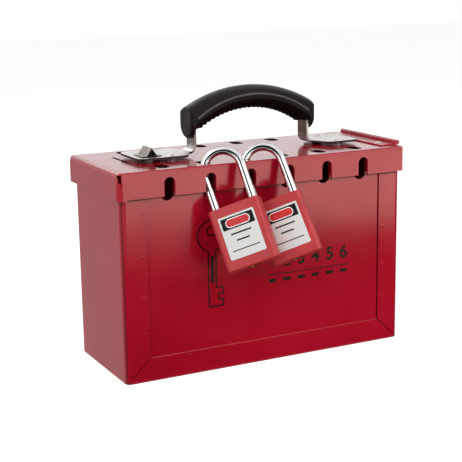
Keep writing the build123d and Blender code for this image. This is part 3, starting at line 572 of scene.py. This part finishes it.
def steel(name, plain, dull, bright, sheen, stretch=(0.06, 1.0, 1.0), fineness=1400.0):
    """Brushed metal, dull in stained patches and bright where its edges are rubbed."""
    material, tree, inputs = new_finish(name)
    inputs["Metallic"].default_value = 1.0
    brush = brushed(tree, stretch, fineness)
    rubbed = placed_group(tree, edge_wear, {"Reach": 0.0004, "Amount": 0.6, "Patches": 220.0})
    stained = blended(tree, spread(tree, brush["Stains"], 0.42, 0.68), plain, dull)
    tree.links.new(blended(tree, rubbed["Mask"], stained, bright), inputs["Base Color"])
    streaks = spread(tree, brush["Lines"], 0.3, 0.7, sheen - 0.06, sheen + 0.1)
    cloudy = spread(tree, brush["Stains"], 0.35, 0.7, 0.0, 0.1)
    tree.links.new(sums(tree, "ADD", streaks, cloudy), inputs["Roughness"])
    bumped(tree, brush["Lines"], BRUSH_DEPTH, inputs)
    return material


zinc = steel("zinc_plated_steel", STEEL, STEEL_DULL, STEEL_BRIGHT, sheen=0.34)
rivet_steel = steel(
    "rivet_steel", STEEL, STEEL_DULL, STEEL_BRIGHT, sheen=0.28, stretch=(1, 1, 1), fineness=900.0
)
hinge_paint = powder_coat("hinge_powder_coat", sheen=0.24, wear=1.0)
coat(["hinge_case_leaf", "hinge_lid_leaf", "hinge_case_rivets", "hinge_pin"], hinge_paint)
coat(["hinge_lid_rivets"], rivet_steel)

# Lid: one folded sheet with its skirts, corner tabs, shackle slots and key slit, painted
# like the case. Its long front fold carries most of the rubbing.

# Painted shade for the walls of the top slots.
PAINTED_SLOT_SHADE = (0.02, 0.002, 0.003, 1)
FOLD_INSET_X = 0.0019
FOLD_INSET_Y = 0.0035
PUNCHED_DEPTH = 0.0017

lid_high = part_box("lid_shell")[1]


def lid_coat():
    """The lid's powder, with painted shade on the punched walls of the top slots."""
    material = powder_coat("lid_powder_coat", sheen=0.15, wear=0.7)
    tree = material.node_tree
    place = split_up(tree, "Object")
    facing = split_up(tree, "Normal")
    shaded_slot_walls = all_of(
        tree,
        spread(tree, sums(tree, "ABSOLUTE", facing["Z"]), 0.6, 0.3),
        sums(tree, "LESS_THAN", sums(tree, "ABSOLUTE", place["X"]), lid_high.x - FOLD_INSET_X),
        sums(tree, "LESS_THAN", sums(tree, "ABSOLUTE", place["Y"]), lid_high.y - FOLD_INSET_Y),
        sums(tree, "GREATER_THAN", place["Z"], lid_high.z - PUNCHED_DEPTH),
    )
    painted_over(tree, shaded_slot_walls, PAINTED_SLOT_SHADE)
    return material


coat(["lid_shell"], lid_coat())

# Handle brackets: two foot plates with their upright straps, each stamped and bent from
# 1.6 mm zinc plated sheet, riveted through round washers that hold them off the lid.
# The right strap is browner where its plating was heated. The feet's cut edges and
# undersides and the washers under them are darkened as painted shade.

# The spacers' steel is darkened as painted shade for the gap under the foot plates.
SHADED_SPACER_STEEL = (0.26, 0.235, 0.21, 1)
SHADED_SPACER_DULL = (0.15, 0.13, 0.12, 1)
STRAP_GREY = (0.22, 0.20, 0.185, 1)
STRAP_GREY_DULL = (0.15, 0.135, 0.125, 1)
STRAP_BROWN = (0.13, 0.075, 0.058, 1)
STRAP_BROWN_DULL = (0.08, 0.045, 0.034, 1)
# Painted shade for the foot plates' cut edges and undersides.
PAINTED_PLATE_SHADE = (0.06, 0.035, 0.03, 1)
BRACKET_SHEET = 0.0016
STRAP_TURN_RISE = 0.0047
STRAP_RAGGED = 0.006
PLATE_SHADE_MARGIN = 0.0001

plate_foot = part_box("handle_bracket_left")[0].z
grip_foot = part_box("grip_lower")[0].z
shaded_spacer_steel = steel("shaded_spacer_steel", SHADED_SPACER_STEEL, SHADED_SPACER_DULL, STEEL_DULL, sheen=0.4)
coat(["handle_bracket_spacers"], shaded_spacer_steel)
coat(["handle_bracket_rivets"], rivet_steel)


def bracket_steel(name, strap, strap_dull, strap_edge, stretch):
    """Zinc plated steel, turned in colour up the strap, with painted shade on the foot's cut
    edges and underside."""
    material, tree, inputs = new_finish(name)
    inputs["Metallic"].default_value = 1.0
    brush = brushed(tree, stretch, 1300.0)
    rubbed = placed_group(tree, edge_wear, {"Reach": 0.0004, "Amount": 0.7, "Patches": 220.0})
    where = tree.nodes.new("ShaderNodeTexCoord").outputs["Object"]
    place = split_up(tree, "Object")
    facing = split_up(tree, "Normal")
    ragged = sums(tree, "MULTIPLY", noise(tree, where, 160.0, 3.0), STRAP_RAGGED)
    height = sums(tree, "ADD", place["Z"], ragged)
    turned = spread(tree, height, plate_foot + STRAP_TURN_RISE, grip_foot)
    stains = spread(tree, brush["Stains"], 0.4, 0.68)
    plate_tone = blended(tree, stains, STEEL, STEEL_DULL)
    strap_tone = blended(tree, stains, strap, strap_dull)
    side_edge = spread(tree, sums(tree, "ABSOLUTE", facing["Y"]), 0.6, 0.8)
    strap_tone = blended(tree, side_edge, strap_tone, strap_edge)
    tone = blended(tree, turned, plate_tone, strap_tone)
    tone = blended(tree, rubbed["Mask"], tone, STEEL_BRIGHT)
    plate_top = plate_foot + BRACKET_SHEET
    # Painted shade on the downward and side faces of the foot plate.
    plate_shade = all_of(
        tree,
        spread(tree, facing["Z"], 0.45, 0.25),
        sums(tree, "LESS_THAN", place["Z"], plate_top + PLATE_SHADE_MARGIN),
    )
    tree.links.new(blended(tree, plate_shade, tone, PAINTED_PLATE_SHADE), inputs["Base Color"])
    tree.links.new(spread(tree, brush["Lines"], 0.3, 0.7, 0.28, 0.46), inputs["Roughness"])
    bumped(tree, brush["Lines"], BRUSH_DEPTH, inputs)
    return material


left_steel = bracket_steel(
    "left_bracket_steel", STRAP_GREY, STRAP_GREY_DULL, STRAP_GREY_DULL, (0.08, 1.0, 1.0)
)
right_steel = bracket_steel(
    "right_bracket_steel", STRAP_BROWN, STRAP_BROWN_DULL, STEEL_DULL, (1.0, 0.08, 1.0)
)
coat(["handle_bracket_left"], left_steel)
coat(["handle_bracket_right"], right_steel)

# Grip: two moulded halves in black nylon, a smooth upper shell and a lower one, snapped
# together on the straps and held by a cross pin at each foot. The lower half has fine finger
# ribs along its inner curve, and a bead covers the parting line. The lower half and its ribs
# are darkened as painted shade, save on the lower half's end cheeks, and the bead is
# lightened as a painted highlight.

GRIP_TONE = (0.010, 0.007, 0.010, 1)
GRIP_RUBBED = (0.035, 0.031, 0.037, 1)
# Painted shade tone for the lower half and its finger ribs.
GRIP_SHADE_TONE = (0.004, 0.003, 0.003, 1)
GRIP_SHADE_RUBBED = (0.02, 0.017, 0.018, 1)
# Painted highlight: the bead's plastic is lighter than the grip's.
BEAD_HIGHLIGHT_TONE = (0.045, 0.037, 0.042, 1)
BEAD_HIGHLIGHT_RUBBED = (0.06, 0.052, 0.058, 1)
CHEEK_LENGTH = 0.0042
CHEEK_FADE = 0.001
INNER_RADIUS = 0.074
INNER_CENTRE_Z = 0.1134
UNDER_CROWN = 0.012
RIB_COUNT = 23
RIB_RADIUS = 0.0014
RIB_RISE = 1.1
RIB_HALF_LENGTH = 0.0092
RIB_BLUNTNESS = 6
RIB_LEAST = 0.02
RIB_TURN = math.radians(34.0)
PARTING_RADIUS = 0.079
BEAD_RADIUS = 0.00115
BEAD_SUNK = 0.0003
BEAD_TURN = math.radians(36.5)
BEAD_STEPS = 48

grip_low, grip_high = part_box("grip_lower")
grip_middle_x = (grip_low.x + grip_high.x) / 2
grip_half_length = (grip_high.x - grip_low.x) / 2


def moulded(name, tone, rubbed_tone, sheen, grain, depth, index):
    """Moulded plastic with a fine spark grain and paler rubbed edges."""
    material, tree, inputs = new_finish(name)
    where = tree.nodes.new("ShaderNodeTexCoord").outputs["Object"]
    rubbed = placed_group(tree, edge_wear, {"Reach": 0.0007, "Amount": 0.5, "Patches": 140.0})
    drift = spread(tree, noise(tree, where, 60.0, 3.0), 0.35, 0.7)
    drifted = tuple(c * 1.18 for c in tone[:3]) + (1,)
    body = blended(tree, drift, tone, drifted)
    tree.links.new(blended(tree, rubbed["Mask"], body, rubbed_tone), inputs["Base Color"])
    haze = spread(tree, noise(tree, where, 110.0, 4.0), 0.3, 0.7, sheen - 0.05, sheen + 0.07)
    tree.links.new(haze, inputs["Roughness"])
    inputs["IOR"].default_value = index
    bumped(tree, noise(tree, where, grain, 2.0), depth, inputs)
    return material


def grip_lower_black():
    """The lower half's plastic, darkened as painted shade under the hand, with the upper half's
    tone on the cheeks.
    """
    material = moulded(
        "grip_lower_black",
        GRIP_SHADE_TONE,
        GRIP_RUBBED,
        sheen=0.42,
        grain=2000.0,
        depth=0.00005,
        index=1.2,
    )
    tree = material.node_tree
    from_middle = sums(tree, "SUBTRACT", split_up(tree, "Object")["X"], grip_middle_x)
    out = sums(tree, "ABSOLUTE", from_middle)
    cheek_start = grip_half_length - CHEEK_LENGTH
    cheek = spread(tree, out, cheek_start - 2 * CHEEK_FADE, cheek_start + CHEEK_FADE)
    painted_over(tree, cheek, GRIP_TONE)
    return material


grip_black = moulded(
    "grip_black", GRIP_TONE, GRIP_RUBBED, sheen=0.38, grain=2200.0, depth=0.00005, index=1.2
)
coat(["grip_upper"], grip_black)
coat(["grip_lower"], grip_lower_black())

# The finger ribs take the same painted shade tone.
grip_shaded_ribs = moulded(
    "grip_shaded_ribs",
    GRIP_SHADE_TONE,
    GRIP_SHADE_RUBBED,
    sheen=0.5,
    grain=1500.0,
    depth=0.00006,
    index=1.15,
)
ribs = bmesh.new()
bmesh.ops.create_cone(
    ribs,
    cap_ends=True,
    segments=10,
    radius1=RIB_RADIUS,
    radius2=RIB_RADIUS,
    depth=RIB_HALF_LENGTH * 2,
    matrix=Matrix.Rotation(math.pi / 2, 4, "X"),
)
lengthwise = [e for e in ribs.edges if e.verts[0].co.y * e.verts[1].co.y < 0]
bmesh.ops.subdivide_edges(ribs, edges=lengthwise, cuts=11)
for vert in ribs.verts:
    across = abs(vert.co.y)
    slim = math.sqrt(max(RIB_LEAST, 1 - (across / RIB_HALF_LENGTH) ** RIB_BLUNTNESS))
    lift = UNDER_CROWN - math.sqrt(UNDER_CROWN**2 - across**2)
    vert.co.x *= slim
    vert.co.z = vert.co.z * slim * RIB_RISE + INNER_RADIUS + lift
rib_centre = (grip_middle_x, 0, INNER_CENTRE_Z)
first_rib = Matrix.Translation(rib_centre) @ Matrix.Rotation(-RIB_TURN, 4, "Y")
bmesh.ops.transform(ribs, matrix=first_rib, verts=ribs.verts)
bmesh.ops.spin(
    ribs,
    geom=ribs.verts[:] + ribs.edges[:] + ribs.faces[:],
    cent=rib_centre,
    axis=(0, 1, 0),
    angle=2 * RIB_TURN,
    steps=RIB_COUNT - 1,
    use_duplicate=True,
)
smoothed(finished("grip_finger_ribs", ribs, grip_shaded_ribs, "lid"), 50)

# The bead is lighter than the grip as a painted highlight along the parting line.
bead_painted_highlight = moulded(
    "bead_painted_highlight", BEAD_HIGHLIGHT_TONE, BEAD_HIGHLIGHT_RUBBED, sheen=0.42, grain=900.0, depth=0.00001, index=1.5
)
parting_centre_z = grip_high.z - PARTING_RADIUS
beads = bmesh.new()
for side in (-1, 1):
    ring = bmesh.ops.create_circle(beads, segments=12, radius=BEAD_RADIUS, cap_ends=True)["verts"]
    bead_y = side * (grip_high.y - BEAD_SUNK)
    start = Matrix.Translation((grip_middle_x, bead_y, parting_centre_z))
    start @= Matrix.Rotation(-BEAD_TURN, 4, "Y") @ Matrix.Translation((0, 0, PARTING_RADIUS))
    start @= Matrix.Rotation(math.pi / 2, 4, "Y")
    bmesh.ops.transform(beads, matrix=start, verts=ring)
    bmesh.ops.spin(
        beads,
        geom=ring[0].link_faces[:],
        cent=(grip_middle_x, 0, parting_centre_z),
        axis=(0, 1, 0),
        angle=2 * BEAD_TURN,
        steps=BEAD_STEPS,
    )
smoothed(finished("grip_parting_beads", beads, bead_painted_highlight, "lid"), 60)

coat(["grip_pins"], rivet_steel)

# Slide latch: a flat zinc plated slide with its bolt under the lid, moved by a folded
# ridge-shaped button on top, carried in two welded bridges and held by a leaf spring.

SPRING_STEEL = (0.30, 0.27, 0.24, 1)
SPRING_DULL = (0.18, 0.155, 0.14, 1)
BUTTON_STEEL = (0.40, 0.36, 0.32, 1)
BUTTON_DULL = (0.20, 0.17, 0.15, 1)
# Painted shade for the inside of the ridge and its cut ends.
BUTTON_PAINTED_SHADE = (0.006, 0.005, 0.005, 1)

coat(["latch_slide"], zinc)


def button_steel():
    """Worn steel on the slopes, with painted shade inside the ridge and on its cut ends."""
    material = steel(
        "button_steel", BUTTON_STEEL, BUTTON_DULL, STEEL_BRIGHT, sheen=0.32, stretch=(1, 0.08, 1)
    )
    tree = material.node_tree
    facing = split_up(tree, "Normal")
    under = spread(tree, facing["Z"], -0.15, -0.3)
    cut_end = spread(tree, sums(tree, "ABSOLUTE", facing["Y"]), 0.6, 0.8)
    painted_over(tree, sums(tree, "MAXIMUM", under, cut_end), BUTTON_PAINTED_SHADE)
    return material


coat(["latch_button"], button_steel())
coat(["latch_guides"], zinc)
spring_steel = steel("spring_steel", SPRING_STEEL, SPRING_DULL, STEEL, sheen=0.26)
coat(["latch_detent_spring"], spring_steel)

# Padlocks: red glass-filled nylon bodies with a pressed-in brass cylinder, a bent and
# chromed steel shackle held by a pin and two balls, and a laminated vinyl label.

NYLON_RED = (0.52, 0.037, 0.043, 1)
NYLON_RUBBED = (0.68, 0.13, 0.12, 1)
CHROME = (0.76, 0.76, 0.77, 1)
CHROME_DULL = (0.64, 0.64, 0.66, 1)
BRASS = (0.42, 0.29, 0.13, 1)
BRASS_DULL = (0.24, 0.16, 0.08, 1)
BRASS_BRIGHT = (0.62, 0.47, 0.24, 1)
VINYL = (0.84, 0.84, 0.83, 1)
VINYL_SOILED = (0.76, 0.75, 0.73, 1)

padlock_nylon = moulded(
    "padlock_nylon",
    NYLON_RED,
    NYLON_RUBBED,
    sheen=0.40,
    grain=1700.0,
    depth=0.00003,
    index=1.42,
)
brass = steel(
    "machined_brass",
    BRASS,
    BRASS_DULL,
    BRASS_BRIGHT,
    sheen=0.26,
    stretch=(1, 1, 0.1),
    fineness=1200.0,
)


def chrome_plate():
    """Bright chromium, a little hazed in patches, with a faint orange peel."""
    material, tree, inputs = new_finish("chromed_steel")
    inputs["Metallic"].default_value = 1.0
    where = tree.nodes.new("ShaderNodeTexCoord").outputs["Object"]
    haze = spread(tree, noise(tree, where, 240.0, 4.0, 0.6), 0.45, 0.7)
    tree.links.new(blended(tree, haze, CHROME, CHROME_DULL), inputs["Base Color"])
    tree.links.new(spread(tree, haze, 0, 1, 0.06, 0.12), inputs["Roughness"])
    bumped(tree, noise(tree, where, 500.0, 1.0), 0.000003, inputs)
    return material


chrome = chrome_plate()


def vinyl():
    """White laminated vinyl, faintly soiled, with a gloss film."""
    material, tree, inputs = new_finish("white_vinyl")
    where = tree.nodes.new("ShaderNodeTexCoord").outputs["Object"]
    soil = spread(tree, noise(tree, where, 120.0, 5.0, 0.65), 0.5, 0.78)
    tree.links.new(blended(tree, soil, VINYL, VINYL_SOILED), inputs["Base Color"])
    tree.links.new(spread(tree, soil, 0, 1, 0.26, 0.42), inputs["Roughness"])
    bumped(tree, noise(tree, where, 700.0, 2.0), 0.00001, inputs)
    return material


white_vinyl = vinyl()
for name in ("padlock_a", "padlock_b"):
    coat([f"{name}_body"], padlock_nylon)
    coat([f"{name}_shackle"], chrome)
    coat([f"{name}_cylinder", f"{name}_key_plug"], brass)
    coat([f"{name}_locking_balls", f"{name}_heel_pin"], rivet_steel)
    coat([f"{name}_label"], white_vinyl)

# Label print: a black head band with a plain red pill in a white rim, and three ruled
# lines to write on, printed on each padlock's label. Each ink is laid over the one before.

PILL_RED = (0.55, 0.03, 0.03, 1)
LABEL_BLACK = (0.008, 0.008, 0.009, 1)
LABEL_WHITE = (0.80, 0.80, 0.79, 1)
LABEL_FACE_Y = -0.0099
LABEL_HALF_WIDTH = 0.01325
LABEL_TOP = -0.00725
LABEL_MARGIN = 0.0014
BAND_FOOT = 0.0098
BAND_CORNER = 0.0004
# Each ruled line: half its length, then its top and its foot below the label's top.
WRITING_LINES = ((0.0075, 0.0130, 0.0141), (0.0048, 0.0180, 0.0191), (0.0102, 0.0249, 0.0256))
LINE_CORNER = 0.0002
RIM_HALF_WIDTH = 0.0090
RIM_TOP = 0.0024
RIM_FOOT = 0.0088
RIM_CORNER = 0.0031
RIM_WIDTH = 0.0006
# Where each padlock hangs, and its turns about Z, Y and X in degrees.
HANGS = {
    "padlock_a": ((-0.0353, -0.0602, 0.1258), (-32.4, -20.6, -18.3)),
    "padlock_b": ((-0.0015, -0.0595, 0.1260), (-26.4, -20.5, -20.0)),
}


def hang_matrix(place, turns):
    """The move that takes a padlock from its own axes to where it hangs."""
    yaw, roll, lean = (math.radians(t) for t in turns)
    turned = Matrix.Rotation(yaw, 4, "Z") @ Matrix.Rotation(roll, 4, "Y")
    return Matrix.Translation(place) @ turned @ Matrix.Rotation(lean, 4, "X")


def label_patch(bm, half_width, top, foot, corner, inks_under=0):
    """A patch of ink across the label's middle, measured down from the label's top."""
    back_y = LABEL_FACE_Y - inks_under * INK_THICKNESS
    up = (LABEL_TOP - foot, LABEL_TOP - top)
    printed_bar(bm, (-half_width, half_width), up, corner, back_y)


label_black = ink("black_label_ink", LABEL_BLACK)
label_white = ink("white_label_ink", LABEL_WHITE)
pill_red = ink("red_label_ink", PILL_RED)
for name, (place, turns) in HANGS.items():
    band = bmesh.new()
    label_patch(band, LABEL_HALF_WIDTH - LABEL_MARGIN, LABEL_MARGIN, BAND_FOOT, BAND_CORNER)
    for half_width, top, foot in WRITING_LINES:
        label_patch(band, half_width, top, foot, LINE_CORNER)
    rim = bmesh.new()
    label_patch(rim, RIM_HALF_WIDTH, RIM_TOP, RIM_FOOT, RIM_CORNER, inks_under=1)
    pill = bmesh.new()
    label_patch(
        pill,
        RIM_HALF_WIDTH - RIM_WIDTH,
        RIM_TOP + RIM_WIDTH,
        RIM_FOOT - RIM_WIDTH,
        RIM_CORNER - RIM_WIDTH,
        inks_under=2,
    )
    inked = (("band", band, label_black), ("rim", rim, label_white), ("pill", pill, pill_red))
    for part, made, material in inked:
        bmesh.ops.transform(made, matrix=hang_matrix(place, turns), verts=made.verts)
        finished(f"{name}_label_{part}", made, material, f"{name}_case")

# Studio: a pale floor and a white surround, a large soft lamp on the left, a smaller one in
# front on the right, a low warm one that the front panel mirrors and two behind. Three black
# cards, which only mirrors see, keep the panel's foot and the middle of the shackles dark.

PAPER_GREY = (0.60, 0.60, 0.60, 1)
PAPER_SEEN = (0.75, 0.75, 0.75, 1)
PAPER_MIRRORED = (0.1, 0.1, 0.1, 1)
FELT_BLACK = (0.01, 0.01, 0.01, 1)
WHITE = (1, 1, 1, 1)
WARM = (1.0, 0.94, 0.78)
FLOOR_SIZE = 8.0
FLOOR_GLOW = 0.88
FLOOR_MIRRORED = 0.62
SURROUND_SEEN = 1.0
SURROUND_LIGHT = 0.12
FLAG_RISE = 0.0005
SIDE_FLAG_TURN = math.radians(-40.0)
BOX_MIDDLE = (0, 0, 0.08)
PANEL_MIDDLE = (0.03, -0.05, 0.068)
LID_MIDDLE = (0, 0, 0.15)


def seen_rays(tree):
    """Masks of the rays that mirrors and glass send on, and of those and the camera's."""
    rays = tree.nodes.new("ShaderNodeLightPath").outputs
    mirrored = sums(tree, "MAXIMUM", rays["Is Glossy Ray"], rays["Is Transmission Ray"])
    return mirrored, sums(tree, "MAXIMUM", rays["Is Camera Ray"], mirrored)


def seen_and_cast(tree, seen, cast_shader, seen_shader, output):
    """One shader for the light cast on the object and another for what is seen."""
    choice = tree.nodes.new("ShaderNodeMixShader")
    tree.links.new(seen, choice.inputs["Fac"])
    tree.links.new(cast_shader, choice.inputs[1])
    tree.links.new(seen_shader, choice.inputs[2])
    tree.links.new(choice.outputs["Shader"], tree.nodes[output].inputs["Surface"])


def studio_paper():
    """Matt paper that glows almost white to the camera and still takes a shadow."""
    material, tree, inputs = new_finish("studio_paper")
    inputs["Base Color"].default_value = PAPER_GREY
    inputs["Roughness"].default_value = 0.9
    inputs["Specular IOR Level"].default_value = 0.1
    mirrored, seen = seen_rays(tree)
    glow = tree.nodes.new("ShaderNodeEmission")
    glow_strength = spread(tree, mirrored, 0, 1, FLOOR_GLOW, FLOOR_MIRRORED)
    tree.links.new(glow_strength, glow.inputs["Strength"])
    lit = tree.nodes.new("ShaderNodeBsdfDiffuse")
    tree.links.new(blended(tree, mirrored, PAPER_SEEN, PAPER_MIRRORED), lit.inputs["Color"])
    both = tree.nodes.new("ShaderNodeAddShader")
    tree.links.new(glow.outputs["Emission"], both.inputs[0])
    tree.links.new(lit.outputs["BSDF"], both.inputs[1])
    plain = tree.nodes["Principled BSDF"].outputs["BSDF"]
    seen_and_cast(tree, seen, plain, both.outputs["Shader"], "Material Output")
    return material


def black_felt():
    """Black cloth with no sheen."""
    material, _, inputs = new_finish("black_felt")
    inputs["Base Color"].default_value = FELT_BLACK
    inputs["Roughness"].default_value = 1.0
    inputs["Specular IOR Level"].default_value = 0.0
    return material


def card(name, width, depth, place, material):
    """A flat rectangle of the studio, level and centred until it is placed."""
    bm = bmesh.new()
    bmesh.ops.create_grid(bm, x_segments=1, y_segments=1, size=0.5)
    bmesh.ops.scale(bm, vec=(width, depth, 1), verts=bm.verts)
    bmesh.ops.transform(bm, matrix=place, verts=bm.verts)
    mesh = bpy.data.meshes.new(name)
    bm.to_mesh(mesh)
    bm.free()
    mesh.materials.append(material)
    sheet = bpy.data.objects.new(name, mesh)
    bpy.context.scene.collection.objects.link(sheet)
    return sheet


card("studio_floor", FLOOR_SIZE, FLOOR_SIZE, Matrix.Identity(4), studio_paper())
felt = black_felt()
upright = Matrix.Rotation(SIDE_FLAG_TURN, 4, "Z") @ Matrix.Rotation(math.pi / 2, 4, "X")
flags = [
    card("floor_flag", 1.1, 0.34, Matrix.Translation((0.15, -0.218, FLAG_RISE)), felt),
    card("right_flag", 0.6, 0.64, Matrix.Translation((0.50, 0.28, FLAG_RISE)), felt),
    card("side_flag", 0.70, 1.4, Matrix.Translation((-0.660, -0.695, 0.7)) @ upright, felt),
]
for flag in flags:
    flag.visible_camera = False
    flag.visible_diffuse = False
    flag.visible_shadow = False


def studio_surround():
    """A white surround to the camera and in mirrors that lights the object only dimly."""
    world = bpy.data.worlds.new("studio_surround")
    world.use_nodes = True
    sky = world.node_tree
    backing = sky.nodes["Background"]
    backing.inputs["Color"].default_value = WHITE
    backing.inputs["Strength"].default_value = SURROUND_SEEN
    dim = sky.nodes.new("ShaderNodeBackground")
    dim.inputs["Color"].default_value = WHITE
    dim.inputs["Strength"].default_value = SURROUND_LIGHT
    seen = seen_rays(sky)[1]
    cast, shown = dim.outputs["Background"], backing.outputs["Background"]
    seen_and_cast(sky, seen, cast, shown, "World Output")
    return world


bpy.context.scene.world = studio_surround()


def soft_lamp(name, place, target, size, watts, colour=WHITE[:3]):
    """A rectangular soft lamp turned to a point."""
    light = bpy.data.lights.new(name, "AREA")
    light.shape = "RECTANGLE"
    light.size, light.size_y = size
    light.energy = watts
    light.color = colour
    lamp = bpy.data.objects.new(name, light)
    bpy.context.scene.collection.objects.link(lamp)
    lamp.location = place
    lamp.rotation_mode = "QUATERNION"
    lamp.rotation_quaternion = (Vector(target) - Vector(place)).to_track_quat("-Z", "Y")
    lamp.visible_camera = False


soft_lamp("left_lamp", (-1.1, -0.45, 0.75), BOX_MIDDLE, size=(1.2, 1.1), watts=10.4)
soft_lamp("front_lamp", (0.35, -0.70, 0.54), BOX_MIDDLE, size=(0.66, 0.40), watts=2.8)
soft_lamp(
    "low_front_lamp",
    (0.21, -0.42, 0.064),
    PANEL_MIDDLE,
    size=(0.42, 0.10),
    watts=0.34,
    colour=WARM,
)
soft_lamp("back_lamp", (0.95, 1.30, 0.36), LID_MIDDLE, size=(1.6, 0.5), watts=0.8)
soft_lamp("rear_lamp", (0.0, 1.35, 0.95), BOX_MIDDLE, size=(0.7, 0.5), watts=2.6)

CAMERA_PLACE = (-0.4064, -0.7871, 0.2909)
CAMERA_TURN = math.radians(-26.85)
CAMERA_RISE = math.radians(12.71)
CAMERA_ROLL = math.radians(-0.9)
CAMERA_SENSOR = 36.0
CAMERA_LENS = 91.69

camera = bpy.data.cameras.new("camera")
camera.sensor_width = CAMERA_SENSOR
camera.lens = CAMERA_LENS
viewer = bpy.data.objects.new("camera", camera)
bpy.context.scene.collection.objects.link(viewer)
level = math.cos(CAMERA_RISE)
back_x = math.sin(CAMERA_TURN) * level
back_y = -math.cos(CAMERA_TURN) * level
ahead = -Vector((back_x, back_y, math.sin(CAMERA_RISE)))
rolled = Quaternion((0, 0, 1), CAMERA_ROLL)
viewer.location = CAMERA_PLACE
viewer.rotation_mode = "QUATERNION"
viewer.rotation_quaternion = ahead.to_track_quat("-Z", "Y") @ rolled
bpy.context.scene.camera = viewer
bpy.context.scene.view_settings.view_transform = "Standard"
